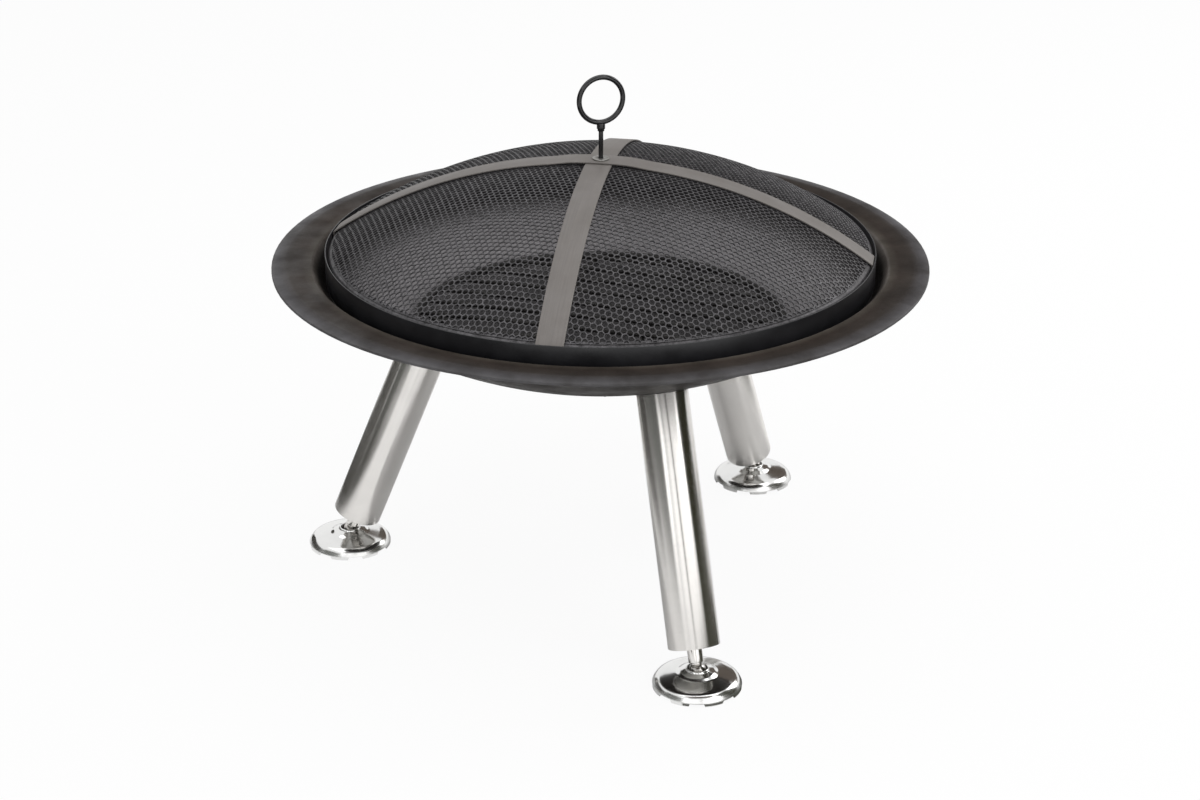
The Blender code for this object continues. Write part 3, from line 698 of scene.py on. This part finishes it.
def clouded_finish(name, colour, metallic, roughness, cloud, tones, roughs, grain):
    """A coat whose tone and shine are clouded, over a fine grain."""
    material, tree, shader = new_finish(name, colour, metallic, roughness)
    place = place_nodes(tree)
    clouds = noise(tree, place, *cloud, 0.6)
    tone = ramp(tree, clouds, 0.3, 0.7, shade(colour, tones[0]), shade(colour, tones[1]))
    rough = spread(tree, clouds, 0.3, 0.7, roughness * roughs[0], roughness * roughs[1])
    coated(tree, shader, tone, rough)
    bump(tree, shader, noise(tree, place, grain, 2.0), 0.0001, 0.2)
    return material


def plated_finish(name, colour, roughness):
    """Plated metal with a slightly clouded surface."""
    return clouded_finish(name, colour, 1.0, roughness, (60.0, 4.0), (0.85, 1.1), (0.75, 1.3), 700.0)


def paint_finish(name, colour, roughness, mottle=0.2):
    """Paint or moulded plastic with a fine orange-peel surface and slight wear in the tone."""
    tones = (1 - mottle, 1 + mottle)
    return clouded_finish(name, colour, 0.0, roughness, (30.0, 5.0), tones, (0.8, 1.2), 420.0)


def net_finish():
    """Dark mesh with rubbed and dull strands, sooty in patches, with painted shade darkening its far side.
    """
    colour = colours().net
    material, tree, shader = new_finish("net_steel", colour, 0.2, 0.5)
    shader.inputs["Specular IOR Level"].default_value = 0.2
    place = place_nodes(tree)
    wear_and_sheen = noise(tree, place, 190.0, 3.0, 0.6)
    soot = noise(tree, place, 7.0, 4.0, 0.6)
    tone = ramp(tree, wear_and_sheen, 0.32, 0.72, shade(colour, 0.45), shade(colour, 1.5))
    sooty = ramp(tree, soot, 0.3, 0.7, (0.75, 0.74, 0.73, 1), (1, 1, 1, 1))
    # Painted shade: the net darkens to a fifth towards its far side.
    far_side_shade = ramp(tree, parted(tree, place)["Y"], 0.0, 0.17, (1, 1, 1, 1), (0.2, 0.19, 0.19, 1))
    soot_and_far_shade = multiplied(tree, sooty, far_side_shade)
    coated(tree, shader, multiplied(tree, tone, soot_and_far_shade), spread(tree, wear_and_sheen, 0.3, 0.7, 0.5, 0.32))
    return material


class SpinBowl(bpy.types.Operator):
    """Spin the bowl's sheet: dish, steep wall, brim and turned-down lip"""

    bl_idname = "fire_bowl.spin_bowl"
    bl_label = "Bowl"

    def execute(self, context):
        slope = math.asin(WALL_FOOT_RADIUS / DISH_RADIUS)
        dish = arc("spun_bowl", DISH_RADIUS, DISH_CENTRE, slope, 30)
        corners = [
            (WALL_FOOT_RADIUS, WALL_FOOT_HEIGHT, 0.012),
            (CREST_RADIUS, CREST_HEIGHT, 0.005),
            (BRIM_RADIUS, BRIM_HEIGHT, 0.010),
            (RIM_RADIUS, RIM_HEIGHT, 0.0009),
            (RIM_RADIUS, RIM_HEIGHT - RIM_LIP),
        ]
        bowl = joined([dish, drawn("wall_profile", corners)], "spun_bowl")
        edit(bowl)
        bpy.ops.mesh.remove_doubles(threshold=0.00001)
        foot_at = Vector((WALL_FOOT_RADIUS, 0, WALL_FOOT_HEIGHT))
        pick(bowl, "VERT", lambda point: (point - foot_at).length < 0.00002)
        bpy.ops.mesh.bevel(affect="VERTICES", offset=0.0022, segments=4)
        spun(bowl, sizes().round_sides)
        face_up(bowl)
        thickened(bowl, BOWL_SHEET)
        for azimuth in SIDES.values():
            drill = cylinder("drill", 32, BOLT_HOLE, 0.02, (0, 0, LEG_REACH - DISH_RADIUS))
            cut(bowl, set_down(drill, leg_matrix(azimuth)))
        eased(bowl)
        smooth(bowl, 35)
        dress(bowl, bowl_finish(), "base", "bowl_paint", "bowl")
        return {"FINISHED"}


class CutTubes(bpy.types.Operator):
    """Cut the three leg tubes square, with their bore and eased ends"""

    bl_idname = "fire_bowl.cut_tubes"
    bl_label = "Leg tubes"

    def execute(self, context):
        length = TUBE_TOP - TUBE_LIFT
        middle = (0, 0, TUBE_LIFT + length / 2)
        tube = cylinder("tube", sizes().tube_sides, TUBE_RADIUS, length, middle, ends="NOTHING")
        thickened(tube, TUBE_WALL)
        eased(tube)
        smooth(tube, 30)
        at_every_leg(tube, leg_matrix, tube_finish, "base", "tube_steel", "leg_tube")
        return {"FINISHED"}


class FitFixings(bpy.types.Operator):
    """Fit each leg's top plate, end plug, washer and socket-head bolt"""

    bl_idname = "fire_bowl.fit_fixings"
    bl_label = "Leg fixings"

    def execute(self, context):
        sides = sizes().tube_sides
        bore = TUBE_RADIUS - TUBE_WALL - GAP
        top = LEG_REACH - (DISH_RADIUS + BOWL_SHEET) - GAP
        corners = [
            (PLATE_BORE, top - PLATE), (PLATE_BORE, top), (bore, top, 0.0005),
            (bore, top - PLATE, 0.0005), (PLATE_BORE, top - PLATE),
        ]
        plate = spun(drawn("plate", corners, 2), sides)
        bottom = PLUG_BOTTOM
        flange = bottom + PLUG_FLANGE
        top = bottom + PLUG_HEIGHT
        corners = [
            (PLUG_BORE, top), (PLUG_RADIUS, top, 0.0008), (PLUG_RADIUS, flange, 0.001),
            (bore, flange, 0.0005), (bore, bottom, 0.0005), (PLUG_BORE + 0.001, bottom, 0.0003),
            (PLUG_BORE, bottom + 0.001), (PLUG_BORE, top),
        ]
        plug = spun(drawn("plug", corners, 2), sides)
        top = WASHER_SEAT + WASHER
        corners = [
            (PLATE_BORE, WASHER_SEAT), (PLATE_BORE, top), (FIXING_WASHER_RADIUS, top, 0.0005),
            (FIXING_WASHER_RADIUS, WASHER_SEAT, 0.0002), (PLATE_BORE, WASHER_SEAT),
        ]
        washer = spun(drawn("washer", corners, 2), sides)
        end = BOLT_SEAT - BOLT_LENGTH
        corners = [
            (0, BOLT_SEAT + 0.0033), (0.0034, BOLT_SEAT + 0.0032, 0.004),
            (0.0061, BOLT_SEAT + 0.0016, 0.003), (0.0070, BOLT_SEAT, 0.0002), (BOLT_RADIUS, BOLT_SEAT),
            (BOLT_RADIUS, end + 0.0008, 0.0004), (BOLT_RADIUS - 0.0008, end), (0, end),
        ]
        bolt = spun(drawn("bolt", corners, 3), 48)
        cut(bolt, cylinder("key_socket", 6, 0.0029, 0.0044, (0, 0, BOLT_SEAT + 0.0033)))
        zinc = plated_finish("fastener_steel", colours().zinc, 0.32)
        burnt = plated_finish("burnt_steel", shade(colours().zinc, 0.16), 0.6)
        pieces = (
            (plate, "leg_top_plate", zinc), (plug, "leg_end_plug", zinc),
            (washer, "leg_washer", burnt), (bolt, "leg_bolt", burnt),
        )
        for piece, node, finish in pieces:
            smooth(piece, 35)
            at_every_leg(piece, leg_matrix, finish, "base", "fastener_steel", node)
        return {"FINISHED"}


class TurnStems(bpy.types.Operator):
    """Turn the foot stems with their thread, shoulder, neck and ball"""

    bl_idname = "fire_bowl.turn_stems"
    bl_label = "Foot stems"

    def execute(self, context):
        reach = math.pi / 2 + math.acos(NECK_RADIUS / BALL_RADIUS)
        ball = arc("ball_profile", BALL_RADIUS, 0, reach, 16)
        neck = math.sqrt(BALL_RADIUS**2 - NECK_RADIUS**2)
        root = STEM_RADIUS - THREAD_DEPTH
        corners = [
            (NECK_RADIUS, neck), (NECK_RADIUS, SHOULDER, 0.0004), (STEM_RADIUS, SHOULDER, 0.0006),
            (STEM_RADIUS, SHANK_TOP, 0.0004), (root, SHANK_TOP + THREAD_DEPTH),
            (root, STEM_TOP - 0.001), (root - 0.001, STEM_TOP), (0, STEM_TOP),
        ]
        stem = joined([ball, drawn("shank_profile", corners, 3)], "stem")
        spun(stem, sizes().tube_sides)
        pitch = sizes().thread_pitch
        low = SHANK_TOP + 0.0018
        turns = int((STEM_TOP - 0.0016 - low) / pitch)
        deselect()
        bpy.ops.mesh.primitive_circle_add(
            vertices=3, radius=pitch * 0.52, location=(STEM_RADIUS - 0.0012, 0, low),
            rotation=(math.pi / 2, 0, 0),
        )
        thread = named("thread")
        modify(
            thread, "SCREW", angle=TURN, screw_offset=pitch, iterations=turns, steps=32,
            render_steps=32, use_merge_vertices=False,
        )
        edit(thread)
        bpy.ops.mesh.remove_doubles(threshold=0.000005)
        bpy.ops.mesh.region_to_loop()
        bpy.ops.mesh.edge_face_add()
        bpy.ops.mesh.select_all(action="SELECT")
        bpy.ops.mesh.normals_make_consistent(inside=False)
        bpy.ops.object.mode_set(mode="OBJECT")
        stem = joined([stem, thread], "stem")
        smooth(stem, 30)
        at_every_leg(stem, leg_matrix, stem_finish(), "stem", "stem_steel", "foot_stem")
        return {"FINISHED"}


class PressDiscs(bpy.types.Operator):
    """Press the foot discs, with collar, dome and notched skirt, and mould their sockets"""

    bl_idname = "fire_bowl.press_discs"
    bl_label = "Foot discs"

    def execute(self, context):
        corners = [
            (0.009991, 0.0203), (0.0116, 0.0203, 0.0014), (0.0120, 0.0187, 0.0008),
            (0.0180, 0.0170, 0.005), (0.0218, 0.0147, 0.006), (0.0345, 0.0124, 0.030),
            (0.0425, 0.0106, 0.009), (DISC_RADIUS, 0.0038, 0.004), (DISC_RADIUS, 0),
        ]
        disc = spun(drawn("disc", corners, 6), 2 * sizes().tube_sides)
        face_up(disc)
        thickened(disc, DISC_SHEET)
        for index in range(NOTCHES):
            deselect()
            bpy.ops.mesh.primitive_cube_add(
                size=1, location=(DISC_RADIUS, 0, 0), scale=(0.012, 0.020, 2 * NOTCH_HEIGHT),
            )
            notch = named("notch")
            pick(notch, "FACE", lambda point: point.z > 0.002)
            bpy.ops.transform.resize(value=(1, 0.72, 1))
            cut(disc, set_down(notch, Matrix.Rotation((index + 0.5) * TURN / NOTCHES, 4, "Z")))
        eased(disc, segments=1)
        smooth(disc, 35)
        at_every_leg(disc, foot_matrix, disc_finish(), "foot", "disc_chrome", "foot_disc")

        pocket = BALL_RADIUS + GAP
        mouth = -math.asin(0.0014 / pocket)
        cup = arc("cup_profile", pocket, BALL_HEIGHT, math.pi / 2 + mouth, 10)
        lip = BALL_HEIGHT - 0.0014
        top = 0.0075
        corners = [
            (pocket * math.cos(mouth), lip), (pocket + 0.0019, lip, 0.0004),
            (pocket + 0.0019, top, 0.0008), (0.038, top, 0.0008), (0.038, 0.0015, 0.0005), (0, 0.0015),
        ]
        socket = joined([cup, drawn("socket_profile", corners, 3)], "socket")
        spun(socket, sizes().tube_sides)
        smooth(socket, 35)
        plastic = paint_finish("insert_plastic", colours().plastic, 0.5, 0.12)
        at_every_leg(socket, foot_matrix, plastic, "foot", "insert_plastic", "foot_insert")
        return {"FINISHED"}


class WeldGrate(bpy.types.Operator):
    """Weld the log grate: a ring, its bars and two cross bars under them"""

    bl_idname = "fire_bowl.weld_grate"
    bl_label = "Log grate"

    def execute(self, context):
        deselect()
        bpy.ops.mesh.primitive_torus_add(
            major_radius=GRATE_RADIUS, minor_radius=GRATE_WIRE, major_segments=128, minor_segments=12,
            location=(0, 0, GRATE_HEIGHT),
        )
        parts = [named("grate_ring")]
        rods = []
        for index in range(-BARS_ASIDE, BARS_ASIDE + 1):
            offset = index * BAR_PITCH
            length = 2 * math.sqrt(GRATE_RADIUS**2 - (abs(offset) + BAR_WIRE) ** 2)
            rods.append((offset, GRATE_HEIGHT, length, 0.0))
        length = 2 * math.sqrt(CROSS_BAR_REACH**2 - (CROSS_BAR_OFFSET + BAR_WIRE) ** 2)
        for sign in (-1, 1):
            rods.append((sign * CROSS_BAR_OFFSET, CROSS_BAR_HEIGHT, length, math.pi / 2))
        for offset, height, length, across in rods:
            bar = cylinder("grate_bar", 12, BAR_WIRE, length, (0, offset, height), (0, math.pi / 2, 0))
            eased(bar, 60, width=0.0006)
            parts.append(set_down(bar, Matrix.Rotation(across, 4, "Z")))
        grate = set_down(joined(parts, "welded_grate"), Matrix.Rotation(GRATE_TURN, 4, "Z"))
        smooth(grate, 40)
        paint = paint_finish("grate_steel", colours().grate, 0.6, 0.35)
        dress(grate, paint, "grate", "grate_steel", "log_grate")
        return {"FINISHED"}


class RollHoop(bpy.types.Operator):
    """Roll the screen's hoop from a flat band"""

    bl_idname = "fire_bowl.roll_hoop"
    bl_label = "Screen hoop"

    def execute(self, context):
        bore = HOOP_RADIUS - HOOP_SHEET
        middle = (HOOP_TOP + HOOP_BOTTOM) / 2
        corners = [
            (bore, middle), (bore, HOOP_TOP, 0.0004), (HOOP_RADIUS, HOOP_TOP, 0.0004),
            (HOOP_RADIUS, HOOP_BOTTOM, 0.0003), (bore, HOOP_BOTTOM, 0.0003), (bore, middle),
        ]
        hoop = spun(drawn("rolled_hoop", corners, 3), sizes().round_sides)
        smooth(hoop, 35)
        paint = paint_finish("hoop_paint", colours().hoop, 0.34, 0.25)
        dress(hoop, paint, "screen", "hoop_paint", "screen_hoop")
        return {"FINISHED"}


class PressNet(bpy.types.Operator):
    """Lay out the net's openings, trim them round, dome them and give the strands their thickness"""

    bl_idname = "fire_bowl.press_net"
    bl_label = "Spark net"

    def execute(self, context):
        pitch = sizes().net_cell
        row = pitch * math.sqrt(3)
        rows = 2 * math.ceil(NET_RIM_RADIUS / row) + 2
        columns = 2 * math.ceil(NET_RIM_RADIUS / pitch) + 4
        deselect()
        bpy.ops.mesh.primitive_circle_add(
            vertices=6, radius=pitch / math.sqrt(3), fill_type="NGON",
            location=(-pitch * columns / 2, -row * rows / 2, 0.2),
        )
        net = named("spark_net")
        edit(net)
        bpy.ops.mesh.duplicate_move(TRANSFORM_OT_translate={"value": (pitch / 2, row / 2, 0)})
        for count, step in ((columns, (pitch, 0, 0)), (rows, (0, row, 0))):
            modify(
                net, "ARRAY", count=count, use_relative_offset=False, use_constant_offset=True,
                constant_offset_displace=step, use_merge_vertices=True, merge_threshold=0.00001,
            )
        set_down(net, Matrix.Rotation(NET_TURN, 4, "Z"))
        edit(net)
        bpy.ops.mesh.remove_doubles(threshold=0.00001)
        rim = NET_RIM_RADIUS - 0.0015
        for index in range(NET_TRIMS):
            angle = TURN * index / NET_TRIMS
            out = Vector((math.cos(angle), math.sin(angle), 0))
            bpy.ops.mesh.select_all(action="SELECT")
            bpy.ops.mesh.bisect(plane_co=rim * out, plane_no=out, clear_outer=True)
        first = Vector((math.cos(LOWER_STRAP_TURN), math.sin(LOWER_STRAP_TURN), 0))
        second = Vector((math.cos(UPPER_STRAP_TURN), math.sin(UPPER_STRAP_TURN), 0))
        for across in (first, second):
            bpy.ops.mesh.select_all(action="SELECT")
            bpy.ops.mesh.bisect(plane_co=(0, 0, 0), plane_no=across)
        bpy.ops.mesh.select_mode(type="FACE")
        bpy.ops.mesh.select_all(action="SELECT")
        bpy.ops.mesh.inset(thickness=sizes().net_strand / 2, use_individual=True, use_boundary=True)
        bpy.ops.mesh.delete(type="FACE")
        bpy.ops.object.mode_set(mode="OBJECT")
        deselect()
        bpy.ops.mesh.primitive_uv_sphere_add(
            segments=192, ring_count=128, radius=NET_SPHERE, location=(0, 0, NET_CENTRE),
        )
        former = named("former")
        modify(
            net, "SHRINKWRAP", wrap_method="PROJECT", use_project_z=True, use_positive_direction=True,
            use_negative_direction=False, target=former,
        )
        bpy.data.objects.remove(former, do_unlink=True)
        finish = net_finish()
        quarters = []
        for index, (one, other) in enumerate(((1, 1), (1, -1), (-1, 1))):
            pick(
                net, "FACE",
                lambda point: point.dot(first) * one > 0 and point.dot(second) * other > 0,
            )
            before = set(bpy.data.objects)
            bpy.ops.mesh.separate(type="SELECTED")
            bpy.ops.object.mode_set(mode="OBJECT")
            quarter = (set(bpy.data.objects) - before).pop()
            quarter.name = "net_quarter_%d" % (index + 1)
            quarters.append(quarter)
            take(net)
        net.name = "net_quarter_4"
        quarters.append(net)
        for quarter in quarters:
            face_up(quarter)
            modify(quarter, "SOLIDIFY", thickness=sizes().net_sheet, offset=0.0)
            dress(quarter, finish, "screen", "net_steel", "screen_net")
        corners = [
            (NET_RIM_RADIUS - 0.0050, 0.3846), (NET_RIM_RADIUS + 0.0010, 0.3812, 0.001),
            (TAB_RADIUS, 0.3790),
        ]
        hem = spun(drawn("net_hem", corners, 3), sizes().round_sides)
        face_up(hem)
        thickened(hem, 0.0008)
        smooth(hem, 35)
        dress(hem, finish, "screen", "net_steel")
        return {"FINISHED"}


class BendStraps(bpy.types.Operator):
    """Bend the two straps over the net, the upper one raised where they cross"""

    bl_idname = "fire_bowl.bend_straps"
    bl_label = "Screen straps"

    def execute(self, context):
        straps = (("lower", LOWER_STRAP_TURN, 0.0), ("upper", UPPER_STRAP_TURN, STRAP_SHEET + GAP))
        for name, turn, lift in straps:
            deselect()
            bpy.ops.mesh.primitive_plane_add(size=STRAP_WIDTH, location=(0, 0, NET_CENTRE + STRAP_SPHERE))
            strap = named("strap_" + name)
            edit(strap)
            bpy.ops.transform.resize(value=(0.0001, 1, 1))
            bpy.ops.mesh.remove_doubles(threshold=0.0001)
            reach = math.asin(TAB_RADIUS / STRAP_SPHERE)
            bpy.ops.mesh.select_all(action="SELECT")
            for angle in (reach, -reach):
                bpy.ops.mesh.spin(steps=40, angle=angle, center=(0, 0, NET_CENTRE), axis=(0, 1, 0))
                bpy.ops.mesh.extrude_region_move(TRANSFORM_OT_translate={"value": (0, 0, -STRAP_TAB)})
                pick(strap, "EDGE", lambda point: abs(point.x) < 0.0002)
            bpy.ops.mesh.select_all(action="SELECT")
            bpy.ops.mesh.remove_doubles(threshold=0.0001)
            bpy.ops.mesh.normals_make_consistent(inside=False)
            bpy.ops.object.mode_set(mode="OBJECT")
            for vertex in strap.data.vertices:
                away = abs(vertex.co.x) / STRAP_WIDTH
                slope = min(max(2 - away, 0), 1)
                vertex.co.z += lift * slope * slope * (3 - 2 * slope)
            face_up(strap)
            thickened(strap, STRAP_SHEET, 1.0)
            cut(strap, cylinder("drill", 24, ROD_RADIUS + GAP, 0.05, (0, 0, STRAP_TOP)))
            eased(strap, 40)
            set_down(strap, Matrix.Rotation(turn, 4, "Z"))
            smooth(strap, 35)
            grain = (14, 520, 14)
            finish = brushed_finish("strap_steel_" + name, colours().strap, 0.55, grain, (0, 0, turn))
            dress(strap, finish, "screen", "strap_steel", "screen_strap_" + name)
        return {"FINISHED"}


class FormHandle(bpy.types.Operator):
    """Form the lifting ring with its collar and rod, and fit the washers and the nut"""

    bl_idname = "fire_bowl.form_handle"
    bl_label = "Ring handle"

    def execute(self, context):
        deselect()
        bpy.ops.mesh.primitive_torus_add(
            major_radius=RING_RADIUS, minor_radius=RING_WIRE, major_segments=96, minor_segments=20,
            location=(0, 0, RING_HEIGHT), rotation=(math.pi / 2, 0, 0),
        )
        ring = named("ring")
        step = COLLAR_BOTTOM + 0.0022
        top = COLLAR_BOTTOM + COLLAR
        corners = [
            (0, ROD_END), (ROD_RADIUS, ROD_END, 0.0004), (ROD_RADIUS, COLLAR_BOTTOM),
            (0.0036, COLLAR_BOTTOM, 0.0003), (0.0036, step, 0.0002), (COLLAR_RADIUS, step + 0.0004, 0.0005),
            (COLLAR_RADIUS, top - 0.0014, 0.0014), (0, top),
        ]
        rod = spun(drawn("rod", corners, 3), 32)
        handle = joined([ring, rod], "lifting_ring")
        smooth(handle, 35)
        gloss = paint_finish("handle_paint", colours().handle, 0.16, 0.2)
        dress(handle, gloss, "screen", "handle_paint", "ring_handle")
        plated = plated_finish("handle_plating", shade(colours().zinc, 0.6), 0.4)
        bore = ROD_RADIUS + GAP
        for name, bottom in (("top", STRAP_TOP + GAP), ("bottom", LOWER_WASHER)):
            top = bottom + HANDLE_WASHER
            corners = [
                (bore, bottom), (bore, top, 0.0002), (HANDLE_WASHER_RADIUS, top, 0.0005),
                (HANDLE_WASHER_RADIUS, bottom, 0.0002), (bore, bottom),
            ]
            washer = spun(drawn("rod_washer_" + name, corners, 3), 48)
            smooth(washer, 35)
            dress(washer, plated, "screen", "fastener_steel", "handle_washer_" + name)
        middle = (0, 0, NUT_TOP - NUT / 2)
        nut = cylinder("rod_nut", 6, NUT_RADIUS, NUT, middle)
        cut(nut, cylinder("drill", 24, bore, 3 * NUT, middle))
        eased(nut, 40)
        smooth(nut, 30)
        dress(nut, plated, "screen", "fastener_steel", "handle_nut")
        return {"FINISHED"}


class SetStage(bpy.types.Operator):
    """Set the floor, the soft lights and the camera"""

    bl_idname = "fire_bowl.set_stage"
    bl_label = "Stage, lights and camera"

    def execute(self, context):
        deselect()
        bpy.ops.mesh.primitive_circle_add(vertices=96, radius=9.0, fill_type="NGON", location=(0, 0, 0))
        floor = named("floor")
        floor.data.materials.append(floor_finish())
        set_world()
        for lamp in LAMPS:
            add_lamp(*lamp)
        for card in CARDS:
            add_card(*card)
        add_shade("card_shade", (0.9, 0.9, 0.9), 0.34, 0.10)
        add_camera()
        context.scene.view_settings.view_transform = "Standard"
        return {"FINISHED"}


def seen_plainly(tree):
    """1 for the camera's rays and for those of reflections and glass, and 0 for all others."""
    path = tree.nodes.new("ShaderNodeLightPath")
    seen = path.outputs["Is Camera Ray"]
    for kind in ("Is Glossy Ray", "Is Transmission Ray"):
        seen = maths(tree, "ADD", seen, path.outputs[kind], clamp=True)
    return seen


def floor_finish():
    """Pale floor that shows nearly white to the camera and to reflections, and keeps the shadow."""
    material, tree, shader = new_finish("floor", (0.9, 0.9, 0.9, 1), 0.0, 0.9)
    glow = tree.nodes.new("ShaderNodeEmission")
    glow.inputs["Color"].default_value = (1, 1, 1, 1)
    glow.inputs["Strength"].default_value = 1.0
    mix = tree.nodes.new("ShaderNodeMixShader")
    tree.links.new(maths(tree, "MULTIPLY", seen_plainly(tree), 0.93), mix.inputs["Fac"])
    tree.links.new(shader.outputs[0], mix.inputs[1])
    tree.links.new(glow.outputs[0], mix.inputs[2])
    tree.links.new(mix.outputs[0], tree.nodes["Material Output"].inputs["Surface"])
    return material


def set_world():
    """White to the camera and to reflections, and a plain level of soft light elsewhere."""
    world = bpy.data.worlds.new("studio")
    bpy.context.scene.world = world
    world.use_nodes = True
    tree = world.node_tree
    back = tree.nodes["Background"]
    tree.links.new(spread(tree, seen_plainly(tree), 0.0, 1.0, 0.45, 1.0), back.inputs["Strength"])
    back.inputs["Color"].default_value = (1, 1, 1, 1)


def add_lamp(name, place, wide, high, power):
    deselect()
    bpy.ops.object.light_add(type="AREA", location=place)
    lamp = bpy.context.object
    lamp.name = name
    lamp.data.shape = "RECTANGLE"
    lamp.data.size = wide
    lamp.data.size_y = high
    lamp.data.energy = power
    look = Vector((0, 0, 0.25)) - Vector(place)
    lamp.rotation_euler = look.to_track_quat("-Z", "Y").to_euler()


def only_reflected(card, tone, glow=0.0):
    """Lets a card be seen in reflections alone."""
    material, _, shader = new_finish(card.name, (*tone, 1), 0.0, 0.9)
    if glow:
        shader.inputs["Emission Color"].default_value = (*tone, 1)
        shader.inputs["Emission Strength"].default_value = glow
        shader.inputs["Base Color"].default_value = (0, 0, 0, 1)
    card.data.materials.append(material)
    card.visible_camera = False
    card.visible_shadow = False
    card.visible_diffuse = False
    card.visible_transmission = False


def add_card(name, tone, azimuth, away, wide, heights, deep=0.0, glow=0.0):
    """A card for a band in the metal, upright between two heights or lying with a depth."""
    deselect()
    bpy.ops.mesh.primitive_plane_add(size=1)
    card = named(name)
    stretch = Matrix.Diagonal((wide, deep or heights[1] - heights[0], 1, 1))
    upright = Matrix.Rotation(0.0 if deep else math.pi / 2, 4, "X")
    angle = math.radians(azimuth)
    facing = Matrix.Rotation(angle - math.pi / 2, 4, "Z")
    place = Matrix.Translation((away * math.cos(angle), away * math.sin(angle), sum(heights) / 2))
    set_down(card, place @ facing @ upright @ stretch)
    only_reflected(card, tone, glow)


def add_shade(name, tone, radius, aside):
    """The bowl's own shade on the floor, which the floor's white leaves out of reflections."""
    deselect()
    bpy.ops.mesh.primitive_circle_add(
        vertices=64, radius=radius, fill_type="NGON", location=(aside, 0, 0.0004),
    )
    only_reflected(named(name), tone)


def add_camera():
    """The camera at the photograph's place, with its slight roll."""
    place = Vector(CAMERA_PLACE)
    look = (Vector(CAMERA_AIM) - place).normalized()
    across = look.cross(Vector((0, 0, 1))).normalized()
    over = across.cross(look)
    right = across * math.cos(CAMERA_ROLL) + over * math.sin(CAMERA_ROLL)
    up = over * math.cos(CAMERA_ROLL) - across * math.sin(CAMERA_ROLL)
    deselect()
    bpy.ops.object.camera_add(location=place)
    camera = bpy.context.object
    camera.name = "camera"
    turn = Matrix((right, up, -look)).transposed()
    camera.rotation_euler = turn.to_euler()
    camera.data.lens = CAMERA_LENS
    camera.data.sensor_width = 36.0
    camera.data.sensor_fit = "HORIZONTAL"
    camera.data.clip_start = 0.05
    camera.data.clip_end = 60.0
    bpy.context.scene.camera = camera


PIECES = (
    SpinBowl, CutTubes, FitFixings, TurnStems, PressDiscs, WeldGrate, RollHoop, PressNet, BendStraps,
    FormHandle, SetStage,
)


class FireBowlPanel(bpy.types.Panel):
    """Lists the pieces in the order they are made, with their sizes and colours"""

    bl_idname = "VIEW3D_PT_fire_bowl"
    bl_label = "Fire Bowl"
    bl_space_type = "VIEW_3D"
    bl_region_type = "UI"
    bl_category = "Fire Bowl"

    def draw(self, context):
        layout = self.layout
        for piece in PIECES:
            layout.operator(piece.bl_idname)
        for group in (sizes(), colours()):
            box = layout.box()
            for name in group.__annotations__:
                box.prop(group, name)


CLASSES = (FireBowlSizes, FireBowlColours, *PIECES, FireBowlPanel)


def register():
    for each in CLASSES:
        bpy.utils.register_class(each)
    bpy.types.Scene.fire_bowl_sizes = PointerProperty(type=FireBowlSizes)
    bpy.types.Scene.fire_bowl_colours = PointerProperty(type=FireBowlColours)


def unregister():
    del bpy.types.Scene.fire_bowl_colours
    del bpy.types.Scene.fire_bowl_sizes
    for each in reversed(CLASSES):
        bpy.utils.unregister_class(each)


def main():
    register()
    bpy.ops.fire_bowl.spin_bowl()
    bpy.ops.fire_bowl.cut_tubes()
    bpy.ops.fire_bowl.fit_fixings()
    bpy.ops.fire_bowl.turn_stems()
    bpy.ops.fire_bowl.press_discs()
    bpy.ops.fire_bowl.weld_grate()
    bpy.ops.fire_bowl.roll_hoop()
    bpy.ops.fire_bowl.press_net()
    bpy.ops.fire_bowl.bend_straps()
    bpy.ops.fire_bowl.form_handle()
    bpy.ops.fire_bowl.set_stage()
    deselect()


if __name__ == "__main__":
    main()
